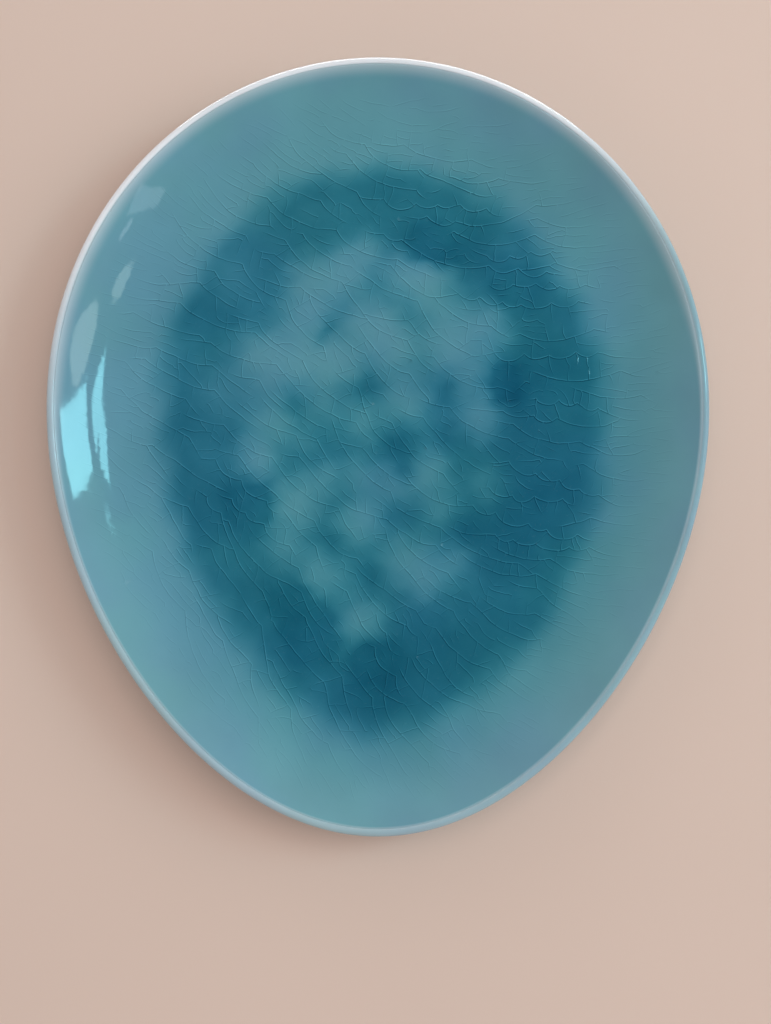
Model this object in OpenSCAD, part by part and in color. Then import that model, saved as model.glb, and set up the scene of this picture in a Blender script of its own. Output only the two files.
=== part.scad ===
// Egg-shaped coupe dinner plate with a pooled crackle glaze.
// Millimetres, +Z up, the origin is on the table under the middle of the plate,
// and +Y points at the broad end.
//
// Every surface is built from rings. A ring is the outline moved inwards by an inset:
// inset 0 is the outermost edge of the plate, and the inset of the centre is CENTRE.

/* [Outline] */
// Length from the narrow end to the broad end
plate_length = 280; // [250:2:310]
// Width at the middle of the length
plate_width = 236; // [210:2:260]
// How much fuller the broad end is than the narrow end
fullness = 0.105; // [0:0.005:0.13]
// How much both ends are drawn in
taper = 0.04; // [0:0.005:0.07]

/* [Profile] */
// Height of the lip above the table
plate_height = 25; // [21:0.5:30]
// Radius of the rolled lip, glaze included
lip_radius = 1.7; // [1.4:0.1:2]
// Inset at which the sloping side meets the floor
side_width = 40; // [36:1:44]
// Height of the glaze over the floor of the plate
floor_height = 10.5; // [10:0.5:12]

/* [Foot] */
// Height of the plate's underside above the table
foot_height = 3.2; // [2.5:0.1:3.6]
// Inset from the foot of the side to the outer side of the foot ring
foot_setback = 6; // [4.5:0.5:12]
// Width of the foot ring, in inset
foot_width = 6; // [4:0.5:8]
// Bare clay left beside the foot ring
dry_margin = 2; // [1:0.5:3]

/* [Glaze] */
// Glaze on the lip and on the back
thin_coat = 0.45; // [0.3:0.05:0.6]
// Extra glaze at the lower end of the sloping side
side_run = 0.55; // [0.2:0.05:0.8]
// Extra glaze in the pool round the floor
pool_depth = 2; // [1:0.1:2.2]
// Share of the pool's glaze that a full ridge takes away
ridge_share = 0.88; // [0:0.02:0.9]
// Share of the pool's glaze that a full dent adds
dent_share = 0.2; // [0:0.02:0.3]
// How far the glaze's own surface follows the ridges and dents under it
swell = 0.3; // [0:0.05:0.5]

/* [Hidden] */

// Points round each ring
AROUND = 72;
// Half the turn over which the direction of the outline is measured, in degrees
HALF_TURN = 0.5;
// Inset from the foot of the side to the centre, and the inset of the centre itself
FLOOR_REACH = 80;
CENTRE = side_width + FLOOR_REACH;
// The pool starts this far up the side, and is full this far past the foot of the side
POOL_CLIMB = 9;
POOL_SETTLE = 3;
// Angle below which the rolled lip hands over to the back
LIP_UNDER = -46;
// Rings over the lip, and over the floor
LIP_STEPS = 8;
FLOOR_STEPS = 16;
// Rings down the face side and the back side, as shares of side_width
FACE_SHARES = [0.12, 0.18, 0.25, 0.35, 0.45, 0.55, 0.65, 0.73, 0.8, 0.86, 0.93, 1];
BACK_SHARES = [0.06, 0.15, 0.27, 0.42, 0.6, 0.78, 0.9, 1];
// A dent lowers the glaze's surface by this share of what a ridge raises it
DENT_DROP = 0.5;
// The clay keeps this level under the floor, and glaze hangs below it
clay_under = foot_height + thin_coat;
foot_inset = side_width + foot_setback;

// Ridges that finger presses left standing: [x, y, radius, strength]
RIDGES = [
    [-24, 60, 9, 1.4], [-11, 64, 8, 1.2], [-4, 72, 6, 0.7], [8, 63, 7, 0.9],
    [18, 60, 8, 1.5], [-2, 45, 9, 1.5], [6, 36, 9, 1.4], [-26, 48, 8, 0.9],
    [-28, 32, 11, 1.6], [-43, 32, 9, 1.2], [-14, 31, 9, 1.3], [27, 36, 10, 1.2],
    [38, 44, 9, 0.9], [23, 48, 8, 0.7], [10, 17, 9, 0.9], [37, 10, 8, 0.8],
    [-44, -5, 7, 1.0], [-39, 8, 7, 0.8], [-31, -22, 9, 1.2], [17, -11, 8, 1.0],
    [-7, -28, 8, 0.8], [-34, -38, 7, 0.7], [-22, -49, 9, 0.9], [10, -42, 9, 0.9],
    [17, -51, 8, 0.8], [28, -43, 7, 0.5], [-6, -65, 8, 0.8], [-21, 14, 7, 0.5],
    [-6, 8, 8, 0.6], [36, 24, 7, 0.6], [-20, -14, 7, 0.5], [5, -16, 8, 0.6]
];
// Dents between them: [x, y, radius, strength]
DENTS = [
    [-18, 43, 5, 0.5], [0, 57, 6, 0.4], [14, 47, 5, 0.4], [-30, 15, 6, 0.8],
    [-5, 22, 6, 0.9], [-14, 4, 7, 0.4], [7, 0, 7, 1.0], [24, 19, 6, 0.7],
    [26, 4, 7, 0.5], [-30, -8, 7, 0.7], [-13, -20, 7, 0.5], [6, -27, 7, 0.4],
    [-18, -37, 7, 0.8], [-3, -48, 6, 0.7], [30, -32, 8, 0.8], [50, 24, 10, 0.8],
    [-56, 46, 10, 0.3], [58, -20, 12, 0.4], [0, -88, 14, 0.4], [-30, -67, 12, 0.4],
    [20, -72, 9, 0.3], [38, 82, 12, 0.3]
];

function outline(a) = [
    plate_width / 2 * cos(a) * (1 + fullness * sin(a) - taper * sin(a) * sin(a)),
    plate_length / 2 * sin(a)
];
function outward(a) =
    let (along = outline(a + HALF_TURN) - outline(a - HALF_TURN))
    [along.y, -along.x] / norm(along);

// The point of the outline at angle a, moved inwards. Past the side the ring shrinks to the centre.
function inset_point(a, inset) =
    inset <= side_width
        ? outline(a) - inset * outward(a)
        : inset_point(a, side_width) * (CENTRE - inset) / FLOOR_REACH;
function ring_outline(inset) = [for (j = [0:AROUND - 1]) inset_point(j * 360 / AROUND, inset)];

// A station is a place on the outer skin: [inset, height, normal's inset part, normal's height part].
function lip_station(turn) = [
    lip_radius - lip_radius * cos(turn),
    plate_height - lip_radius + lip_radius * sin(turn),
    -cos(turn), sin(turn)
];

// A side falls as a parabola to floor_z. from is the station where it leaves the lip.
function side_station(inset, from, floor_z, up) =
    let (run = side_width - from[0])
    let (left = max(0, side_width - inset) / run)
    let (slope = atan(2 * (from[1] - floor_z) * left / run))
    [inset, floor_z + (from[1] - floor_z) * left * left, up * sin(slope), up * cos(slope)];

// Slope of the face where it would meet a lip that leans over by this angle.
// Feeding the answer back in settles on the angle at which both have the same slope.
function face_slope(lean) =
    let (run = side_width - lip_radius * (1 + sin(lean)))
    atan(2 * (plate_height - lip_radius * (1 - cos(lean)) - floor_height) / run);
FIRST_LEAN = 35;
lip_over = 90 + face_slope(face_slope(face_slope(FIRST_LEAN)));
lip_top = lip_station(lip_over);
lip_bottom = lip_station(LIP_UNDER);

lip_stations = [
    for (i = [0:LIP_STEPS]) lip_station(lip_over + (LIP_UNDER - lip_over) * i / LIP_STEPS)
];
face_insets = [
    for (s = FACE_SHARES) s * side_width,
    for (i = [1:FLOOR_STEPS - 1]) side_width + i * FLOOR_REACH / FLOOR_STEPS
];
face_stations = [for (i = face_insets) side_station(i, lip_top, floor_height, 1)];
back_insets = [for (s = BACK_SHARES) s * side_width, foot_inset - dry_margin];
back_stations = [for (i = back_insets) side_station(i, lip_bottom, foot_height, -1)];

function bell(p, spot) = spot[3] * exp(-pow(norm(p - [spot[0], spot[1]]) / spot[2], 2));
function total(list, i = 0) = i < len(list) ? list[i] + total(list, i + 1) : 0;
function ridge(p) = 1 - exp(-total([for (s = RIDGES) bell(p, s)]));
function dent(p) = total([for (s = DENTS) bell(p, s)]);
function ease(x) = let (t = min(1, max(0, x))) t * t * (3 - 2 * t);
function pool(inset) = ease((inset - side_width + POOL_CLIMB) / (POOL_CLIMB + POOL_SETTLE));

// Thickness of the glaze over the face at point p of the ring with that inset
function face_coat(p, inset) =
    thin_coat
    + side_run * ease(inset / side_width)
    + pool_depth * pool(inset) * (1 - ridge_share * ridge(p) + dent_share * dent(p));
function face_swell(p, inset) = swell * pool(inset) * (ridge(p) - DENT_DROP * dent(p));

// Rings of points on the skin, and on the clay under it
function skin_ring(st, face = false) = [
    for (p = ring_outline(st[0])) [p.x, p.y, st[1] + (face ? face_swell(p, st[0]) : 0)]
];
function clay_ring(st, face = false) = [
    for (j = [0:AROUND - 1])
        let (a = j * 360 / AROUND)
        let (p = inset_point(a, st[0]))
        let (coat = face ? face_coat(p, st[0]) : thin_coat)
        let (q = inset_point(a, st[0] - coat * st[2]))
        [q.x, q.y, st[1] + (face ? face_swell(p, st[0]) : 0) - coat * st[3]]
];
face_centre = floor_height + face_swell([0, 0], CENTRE);
clay_centre = face_centre - face_coat([0, 0], CENTRE);

// Faces between rings i and k. A coat's return surface is flipped, so that it has the
// same triangles as the clay that it lies on.
function strip(i, k, flip) = [
    for (j = [0:AROUND - 1])
        let (next = (j + 1) % AROUND)
        let (a = i * AROUND + j, b = i * AROUND + next, c = k * AROUND + next, d = k * AROUND + j)
        each flip ? [[a, b, d], [b, c, d]] : [[a, b, c], [a, c, d]]
];

// A closed hoop: skin rings outside, return rings inside
module hoop(skin, inner) {
    rings = concat(skin, inner);
    n = len(rings);
    polyhedron(
        points = [for (r = rings) each r],
        faces = [for (i = [0:n - 1]) each strip(i, (i + 1) % n, i >= len(skin))],
        convexity = 6
    );
}

// A closed dish: rings from the upper centre outwards and back in to the lower centre
module dish(outward_rings, return_rings, upper, lower, flip) {
    rings = concat(outward_rings, return_rings);
    n = len(rings);
    last = n * AROUND;
    polyhedron(
        points = [for (r = rings) each r, [0, 0, upper], [0, 0, lower]],
        faces = [
            for (i = [0:n - 2]) each strip(i, i + 1, flip && i >= len(outward_rings)),
            for (j = [0:AROUND - 1]) [last, (j + 1) % AROUND, j],
            for (j = [0:AROUND - 1]) [last + 1, last - AROUND + j, last - AROUND + (j + 1) % AROUND]
        ],
        convexity = 6
    );
}

function reversed(list) = [for (i = [len(list) - 1:-1:0]) list[i]];

// Pressed clay plate: face, lip and back in one piece, without its foot
module clay_body() {
    color("Linen")
    dish(
        [for (s = reversed(face_stations)) clay_ring(s, true)],
        [for (s = concat(lip_stations, back_stations)) clay_ring(s)],
        clay_centre, clay_under, false
    );
}

// Bare clay ring that the plate stands on
module foot_ring() {
    color("Tan")
    linear_extrude(clay_under)
    difference() {
        polygon(ring_outline(foot_inset));
        polygon(ring_outline(foot_inset + foot_width));
    }
}

// Thick coloured glaze that has run down the side and pooled in the floor
module face_glaze() {
    edge = lip_stations[0];
    color("SteelBlue")
    dish(
        [for (s = reversed(face_stations)) skin_ring(s, true), skin_ring(edge)],
        [clay_ring(edge), for (s = face_stations) clay_ring(s, true)],
        face_centre, clay_centre, true
    );
}

// Thin pale glaze over the rolled lip
module lip_glaze() {
    color("AliceBlue")
    hoop(
        [for (s = lip_stations) skin_ring(s)],
        [for (s = reversed(lip_stations)) clay_ring(s)]
    );
}

// Thin glaze on the back, which stops short of the foot ring
module back_glaze() {
    stations = concat([lip_stations[LIP_STEPS]], back_stations);
    color("CadetBlue")
    hoop(
        [for (s = stations) skin_ring(s)],
        [for (s = reversed(stations)) clay_ring(s)]
    );
}

// Thin glaze inside the foot ring, which stops short of it too
module foot_well_glaze() {
    color("CadetBlue")
    translate([0, 0, foot_height])
    linear_extrude(thin_coat)
    polygon(ring_outline(foot_inset + foot_width + dry_margin));
}

clay_body();
foot_ring();
face_glaze();
lip_glaze();
back_glaze();
foot_well_glaze();
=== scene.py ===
"""Looks of an egg-shaped coupe dinner plate: pale clay under a pooled and crackled blue-green glaze.

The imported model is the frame. Lengths are in metres and angles in radians, unless a name says otherwise.
+Z is up, +Y points at the broad end of the plate, and the table is at z = 0.

Every surface of the plate is made of rings. A ring is the plate's edge moved inwards by an inset, as a
potter's rib would follow it. Past the foot of the side, the rings shrink to the centre of the floor.
"""

import logging
import math
from dataclasses import dataclass, field
from enum import Enum

import bmesh
import bpy
import numpy as np
from mathutils import Matrix, Vector
from mathutils.geometry import delaunay_2d_cdt
from mathutils.kdtree import KDTree

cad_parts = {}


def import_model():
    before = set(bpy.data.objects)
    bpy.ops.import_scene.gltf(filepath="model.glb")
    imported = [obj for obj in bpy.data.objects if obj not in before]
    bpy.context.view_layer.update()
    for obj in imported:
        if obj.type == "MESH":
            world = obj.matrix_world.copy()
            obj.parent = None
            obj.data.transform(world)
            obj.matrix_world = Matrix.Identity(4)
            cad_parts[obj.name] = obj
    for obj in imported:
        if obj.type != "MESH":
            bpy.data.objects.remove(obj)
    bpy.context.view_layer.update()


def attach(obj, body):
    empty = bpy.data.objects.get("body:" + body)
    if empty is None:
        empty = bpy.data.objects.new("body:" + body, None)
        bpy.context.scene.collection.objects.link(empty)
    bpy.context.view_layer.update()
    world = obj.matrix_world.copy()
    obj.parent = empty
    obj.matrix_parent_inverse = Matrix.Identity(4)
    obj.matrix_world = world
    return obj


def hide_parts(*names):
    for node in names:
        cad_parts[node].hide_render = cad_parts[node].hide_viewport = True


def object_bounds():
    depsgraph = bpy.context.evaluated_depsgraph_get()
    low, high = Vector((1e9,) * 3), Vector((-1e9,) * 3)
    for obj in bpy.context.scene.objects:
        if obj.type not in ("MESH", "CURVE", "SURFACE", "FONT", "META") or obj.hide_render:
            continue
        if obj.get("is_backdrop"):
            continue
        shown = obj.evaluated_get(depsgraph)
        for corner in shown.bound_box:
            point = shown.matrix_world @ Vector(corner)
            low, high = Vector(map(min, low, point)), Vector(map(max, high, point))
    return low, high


MM = 0.001
TURN = 2 * math.pi
BODY = "root"
DEPTH_LAYER = "glaze_depth"
# Per-face layer of painted light and shade along the crack seams: lighter on a seam's lit side, darker on
# its shaded side
PAINTED_SEAM_LAYER = "seam_light_and_shade_paint"
# A small angle, for directions taken from two points close together
NUDGE = 1e-4
# Added where a length could be nothing, before it divides
NO_ZERO = 1e-12
# How far apart the rows of a net of even triangles are, as a share of its spacing
ROW_SHARE = math.sqrt(0.75)
log = logging.getLogger("plate")


class Slot(Enum):
    """The record's material slots."""

    CLAY = "clay"
    FACE = "face_glaze"
    LIP = "lip_glaze"
    BACK = "back_glaze"


def ease(value: np.ndarray) -> np.ndarray:
    """A smooth step from 0 to 1 over the same range of value."""
    t = np.clip(value, 0.0, 1.0)
    return t * t * (3.0 - 2.0 * t)


@dataclass(frozen=True)
class Waves:
    """Slow sine waves over the plate: wavelength in millimetres, then bearing and phase in radians."""

    table: tuple

    def at(self, points: np.ndarray) -> np.ndarray:
        """The waves' mean at each point, from -1 to 1.

        Args:
            points: an array with a last axis of x and y.

        Returns:
            The mean of each point.
        """
        total = np.zeros(points.shape[:-1])
        for wavelength, bearing, phase in self.table:
            along = points[..., 0] * math.cos(bearing) + points[..., 1] * math.sin(bearing)
            total += np.sin(TURN * along / (wavelength * MM) + phase)
        return total / len(self.table)


# ---------------------------------------------------------------- shape of the plate


@dataclass(frozen=True)
class Outline:
    """The egg-shaped edge of the plate, and the rings inside it."""

    length: float
    box_width: float
    fullness: float = 0.105
    taper: float = 0.04
    side_width: float = 40 * MM
    floor_reach: float = 80 * MM
    samples: int = 1440
    newton_rounds: int = 6

    @property
    def centre(self) -> float:
        """The inset of the plate's centre."""
        return self.side_width + self.floor_reach

    def _swing(self, angle: np.ndarray) -> np.ndarray:
        """Half-width at this angle, as a share of the width at the middle."""
        up = np.sin(angle)
        return 0.5 * np.cos(angle) * (1.0 + self.fullness * up - self.taper * up * up)

    def edge(self, angle: np.ndarray) -> np.ndarray:
        """Points of the outermost edge.

        Args:
            angle: angles round the plate, counter-clockwise from +X.

        Returns:
            An array with a last axis of x and y.
        """
        widest = 2.0 * self._swing(np.linspace(0.0, TURN, self.samples)).max()
        x = self.box_width / widest * self._swing(angle)
        return np.stack([x, 0.5 * self.length * np.sin(angle)], axis=-1)

    def outward(self, angle: np.ndarray) -> np.ndarray:
        """Unit vectors that point out of the plate, square to its edge.

        Args:
            angle: angles round the plate.

        Returns:
            An array with a last axis of x and y.
        """
        along = self.edge(angle + NUDGE) - self.edge(angle - NUDGE)
        out = np.stack([along[..., 1], -along[..., 0]], axis=-1)
        return out / np.linalg.norm(out, axis=-1, keepdims=True)

    def ring(self, angle: np.ndarray, inset: np.ndarray) -> np.ndarray:
        """Points of the edge moved inwards.

        Args:
            angle: angles round the plate.
            inset: how far each point is moved inwards.

        Returns:
            An array with a last axis of x and y.
        """
        inset = np.broadcast_to(np.asarray(inset, float), np.shape(angle))
        on_side = np.minimum(inset, self.side_width)[..., None]
        shrink = np.clip((self.centre - inset) / self.floor_reach, 0.0, 1.0)[..., None]
        return (self.edge(angle) - on_side * self.outward(angle)) * shrink

    def inset_at(self, points: np.ndarray) -> np.ndarray:
        """The inset of points given by x and y.

        Args:
            points: an array with a last axis of x and y.

        Returns:
            The inset of each point.
        """
        turns = np.linspace(0.0, TURN, self.samples, endpoint=False)
        foot = self.ring(turns, self.side_width)
        bearing = np.arctan2(foot[:, 1], foot[:, 0]) % TURN
        order = np.argsort(bearing)
        reach = np.interp(
            np.arctan2(points[..., 1], points[..., 0]) % TURN,
            bearing[order],
            np.linalg.norm(foot, axis=-1)[order],
            period=TURN,
        )
        share = np.linalg.norm(points, axis=-1) / reach
        on_floor = self.centre - share * self.floor_reach
        return np.where(share <= 1.0, on_floor, self._inset_on_side(points))

    def _inset_on_side(self, points: np.ndarray) -> np.ndarray:
        """Distance to the edge, by Newton's method from a first guess at the angle.

        Args:
            points: an array with a last axis of x and y.

        Returns:
            The inset of each point.
        """
        half = 0.5 * np.array([self.box_width, self.length])
        angle = np.arctan2(points[..., 1] / half[1], points[..., 0] / half[0])
        for _ in range(self.newton_rounds):
            gap = points - self.edge(angle)
            along = (self.edge(angle + NUDGE) - self.edge(angle - NUDGE)) / (2 * NUDGE)
            angle = angle + (gap * along).sum(-1) / (along * along).sum(-1)
        return ((self.edge(angle) - points) * self.outward(angle)).sum(-1)


@dataclass(frozen=True)
class Station:
    """A place on the outer skin, and the direction that the skin faces there."""

    inset: float
    height: float
    face_in: float
    face_up: float


@dataclass(frozen=True)
class Profile:
    """The section of the plate from its lip to its centre."""

    outline: Outline
    height: float
    lip_radius: float = 1.7 * MM
    floor_height: float = 10.5 * MM
    foot_height: float = 3.2 * MM
    lip_under: float = math.radians(-46)
    # The lean where the lip meets the face: a first guess, and rounds that better it
    first_lean: float = math.radians(35)
    lean_rounds: int = 3

    def lip(self, turn: float) -> Station:
        """The lip's skin at an angle from straight outwards, over the top.

        Args:
            turn: the angle.

        Returns:
            The station at that angle.
        """
        return Station(
            self.lip_radius * (1.0 - math.cos(turn)),
            self.height - self.lip_radius * (1.0 - math.sin(turn)),
            -math.cos(turn),
            math.sin(turn),
        )

    @property
    def lip_over(self) -> float:
        """The angle at which the lip has leant over to the slope of the face.

        Returns:
            The angle from straight outwards.
        """
        lean = self.first_lean
        for _ in range(self.lean_rounds):
            run = self.outline.side_width - self.lip_radius * (1.0 + math.sin(lean))
            drop = self.height - self.lip_radius * (1.0 - math.cos(lean)) - self.floor_height
            lean = math.atan(2.0 * drop / run)
        return 0.5 * math.pi + lean

    def side(self, inset: float, start: Station, base: float, up: float) -> Station:
        """A side that falls as a parabola.

        Args:
            inset: where on the side.
            start: where the side leaves the lip.
            base: height of the foot of the side.
            up: 1 for the face, -1 for the back.

        Returns:
            The station at that inset.
        """
        run = self.outline.side_width - start.inset
        left = max(0.0, self.outline.side_width - inset) / run
        slope = math.atan(2.0 * (start.height - base) * left / run)
        height = base + (start.height - base) * left * left
        return Station(inset, height, up * math.sin(slope), up * math.cos(slope))

    def face(self, inset: float) -> Station:
        """The face's skin, without the swell over finger marks."""
        return self.side(inset, self.lip(self.lip_over), self.floor_height, 1.0)

    def back(self, inset: float) -> Station:
        """The back's skin."""
        return self.side(inset, self.lip(self.lip_under), self.foot_height, -1.0)


@dataclass(frozen=True)
class FingerMarks:
    """Ridges and dents that fingers left in the clay: x, y and radius in millimetres, and strength."""

    ridges: tuple = (
        (-24, 60, 9, 1.4), (-11, 64, 8, 1.2), (-4, 72, 6, 0.7), (8, 63, 7, 0.8),
        (18, 60, 8, 1.5), (-2, 45, 9, 1.5), (6, 36, 9, 1.4), (-26, 48, 8, 0.9),
        (-28, 32, 11, 1.6), (-43, 32, 9, 1.2), (-14, 31, 9, 1.3), (27, 36, 10, 1.2),
        (38, 44, 9, 0.9), (23, 48, 8, 0.7), (10, 17, 9, 0.9), (37, 10, 8, 0.8),
        (-44, -5, 7, 1.0), (-39, 8, 7, 0.8), (-31, -22, 9, 1.05), (17, -11, 8, 1.0),
        (-7, -28, 8, 0.8), (-34, -38, 7, 0.5), (-22, -49, 9, 0.75), (10, -42, 9, 0.8),
        (17, -51, 8, 0.6), (28, -43, 7, 0.5), (-6, -65, 8, 0.8), (-21, 14, 7, 0.5),
        (-6, 8, 8, 0.6), (36, 24, 7, 0.6), (-20, -14, 7, 0.5), (5, -16, 8, 0.6),
    )
    dents: tuple = (
        (-18, 43, 5, 0.5), (0, 57, 6, 0.4), (14, 47, 5, 0.4), (-30, 15, 6, 0.8),
        (-5, 22, 6, 0.9), (-14, 4, 7, 0.4), (7, 0, 7, 1.0), (24, 19, 6, 0.7),
        (26, 4, 7, 0.5), (-30, -9, 7, 0.5), (-13, -20, 7, 0.5), (6, -27, 7, 0.4),
        (-18, -37, 7, 0.8), (-3, -48, 6, 0.7), (30, -32, 8, 0.8), (52, 22, 11, 0.9),
        (-56, 46, 10, 0.3), (58, -20, 12, 0.4), (0, -88, 14, 0.4), (-28, -68, 13, 0.55),
        (20, -72, 9, 0.3), (38, 82, 12, 0.3), (66, -12, 14, 0.3), (72, 24, 13, 0.7),
        (51, -34, 10, 0.4), (50, -57, 14, 0.3),
    )
    # Later touches: a positive one thins the pool, and a negative one presses a ridge flat
    touches: tuple = (
        (-55, 19, 13, 0.42), (-40, 20, 7, 0.3), (-54, 61, 14, 0.22), (-40, 77, 9, 0.16),
        (38, 90, 9, 0.14), (-29, 1, 6, 0.3), (-24, -72, 8, -0.4), (30, 48, 6, -0.2),
        (-7, -12, 7, 0.5), (23, -25, 7, 0.5), (39, -15, 7, 0.35), (-66, -8, 12, 0.1),
        (-24, 86, 9, 0.2), (50, 74, 10, 0.12), (20, 73, 7, -0.9), (-21, 40, 5, -0.8),
        (44, 22, 7, -0.7), (12, -10, 6, -0.6), (-45, -23, 8, -0.8), (-28, -59, 9, -0.7),
        (-1, -79, 8, -0.4), (50, 59, 9, -0.3),
    )
    # How far below the plain floor a touch can press
    deepest: float = -0.12
    # Fingers drag: how far the marks are pulled along x and y, and where
    drag: float = 1.9 * MM
    drag_x: Waves = Waves(((17, 0.7, 0.4), (11, 2.2, 2.9), (7.3, 1.3, 5.1), (23, 2.8, 1.0)))
    drag_y: Waves = Waves(((15, 2.5, 1.7), (10, 0.2, 4.4), (6.7, 1.9, 0.6), (26, 1.1, 3.3)))

    @staticmethod
    def bells(points: np.ndarray, spots: tuple) -> np.ndarray:
        """Sum of a bell over each spot.

        Args:
            points: an array with a last axis of x and y.
            spots: x, y, radius and strength of each, in millimetres.

        Returns:
            The sum at each point.
        """
        total = np.zeros(points.shape[:-1])
        for x, y, radius, strength in spots:
            gap = np.linalg.norm(points - np.array([x, y]) * MM, axis=-1) / (radius * MM)
            total += strength * np.exp(-gap * gap)
        return total

    def dragged(self, points: np.ndarray) -> np.ndarray:
        """Where the marks' own shapes put each point."""
        return points + self.drag * np.stack([self.drag_x.at(points), self.drag_y.at(points)], axis=-1)

    def ridge(self, points: np.ndarray) -> np.ndarray:
        """How much of a ridge each point is on, from 0 to 1.

        Args:
            points: an array with a last axis of x and y.

        Returns:
            The share at each point.
        """
        points = self.dragged(points)
        pressed = self.bells(points, self.ridges) + self.bells(points, self.touches)
        return 1.0 - np.exp(-np.maximum(pressed, self.deepest))

    def dent(self, points: np.ndarray) -> np.ndarray:
        """How deep in a dent each point is."""
        return self.bells(self.dragged(points), self.dents)


@dataclass(frozen=True)
class Coat:
    """How thick the glaze lies, and what it does to the surface."""

    profile: Profile
    marks: FingerMarks = FingerMarks()
    thin: float = 0.45 * MM
    side_run: float = 1.0 * MM
    # The kiln shelf leant a little, so more glaze ran towards this bearing
    lean_run: float = 0.7 * MM
    lean_bearing: float = math.radians(-58)
    side_run_on_floor: float = 0.55 * MM
    pool_depth: float = 2.0 * MM
    ridge_share: float = 0.93
    dent_share: float = 0.2
    swell_height: float = 0.3 * MM
    dent_drop: float = 0.5
    pool_climb: float = 10 * MM
    pool_settle: float = 5.5 * MM
    # Where the pool's bank bulges out or draws in: x, y, radius and shift in millimetres
    banks: tuple = (
        (60, -64, 30, 4.5), (-74, 6, 26, -3.2), (6, -104, 26, 1.8), (-64, 72, 22, -1.4),
        (64, 72, 15, -1.6), (-30, -92, 16, 2.0), (84, 30, 22, 2.8), (80, -24, 18, 1.6),
        (-86, 40, 12, 1.5), (10, 104, 14, 1.0),
    )
    bank_shift: float = 0.7 * MM
    bank_wander: float = 2.0 * MM
    wander: Waves = Waves(((37, 0.3, 2.0), (23, 1.6, 0.5), (15, 2.6, 4.1)))
    # The melted glaze lies in slow ripples, except near the rim
    calm_rim: float = 4 * MM
    calm_fade: float = 8 * MM
    ripple_height: float = 0.175 * MM
    ripples: Waves = Waves(
        ((31, 0.4, 0.0), (43, 1.9, 2.1), (27, 2.7, 4.0), (57, 0.9, 1.3), (37, 2.3, 5.2))
    )

    def pool(self, points: np.ndarray, inset: np.ndarray) -> np.ndarray:
        """How full the pool is, from 0 on the side to 1 on the floor.

        Args:
            points: an array with a last axis of x and y.
            inset: the inset of each point.

        Returns:
            The share at each point.
        """
        foot = self.profile.outline.side_width - self.pool_climb
        shift = self.bank_shift + self.marks.bells(points, self.banks) * MM
        shift = shift + self.bank_wander * self.wander.at(points)
        return ease((inset + shift - foot) / (self.pool_climb + self.pool_settle))

    def thickness(self, points: np.ndarray, inset: np.ndarray) -> np.ndarray:
        """Thickness of the glaze on the face.

        Args:
            points: an array with a last axis of x and y.
            inset: the inset of each point.

        Returns:
            The thickness at each point.
        """
        thinned = self.ridge_share * self.marks.ridge(points)
        marks = 1.0 - thinned + self.dent_share * self.marks.dent(points)
        bearing = np.arctan2(points[..., 1], points[..., 0])
        lean = 0.5 + 0.5 * np.cos(bearing - self.lean_bearing)
        down = ease(inset / self.profile.outline.side_width)
        run = (self.side_run + self.lean_run * lean) * down
        # What ran down the side doesn't lie on top of the pool
        pool = self.pool(points, inset)
        full = self.thin + self.side_run_on_floor + self.pool_depth * marks
        return (self.thin + run) * (1.0 - pool) + full * pool

    def swell(self, points: np.ndarray, inset: np.ndarray) -> np.ndarray:
        """How far the skin stands over the plain section: finger marks, and slow ripples of melted glaze.

        Args:
            points: an array with a last axis of x and y.
            inset: the inset of each point.

        Returns:
            The height at each point.
        """
        marks = self.marks.ridge(points) - self.dent_drop * self.marks.dent(points)
        calm = ease((inset - self.calm_rim) / self.calm_fade)
        ripple = self.ripple_height * self.ripples.at(points) * calm
        return self.swell_height * self.pool(points, inset) * marks + ripple

    def face_height(self, points: np.ndarray) -> tuple[np.ndarray, np.ndarray]:
        """Height of the face's skin.

        Args:
            points: an array with a last axis of x and y.

        Returns:
            The heights, and the insets of the points.
        """
        inset = self.profile.outline.inset_at(points)
        start = self.profile.lip(self.profile.lip_over)
        base = self.profile.floor_height
        left = np.maximum(0.0, self.profile.outline.side_width - inset)
        share = left / (self.profile.outline.side_width - start.inset)
        plain = base + (start.height - base) * share * share
        return plain + self.swell(points, inset), inset


# ---------------------------------------------------------------- crackle


@dataclass(frozen=True)
class CrackRank:
    """One generation of cracks. Later ones fill the gaps that earlier ones left. Millimetres and degrees."""

    spacing: float
    shortest: float
    longest: float
    half_width: float
    strength: float
    # How far the cracks turn from the drift of the long ones, and how much that varies
    turn: float
    scatter: float
    # Where they start: no nearer to the plate's edge than reach, and no further in than until
    reach: float
    until: float = 200.0
    # Length of a scallop, and the angle that it sweeps: 0 for straight cracks
    scallop: float = 0.0
    sweep: float = 0.0


@dataclass(frozen=True)
class Heading:
    """How one end of a crack sets out."""

    turn: float
    sense: int
    phase: float
    length: float


@dataclass
class Crack:
    """The middle line of one crack, in millimetres, with its half-width and strength at each point."""

    points: np.ndarray
    half_width: np.ndarray
    strength: np.ndarray


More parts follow.
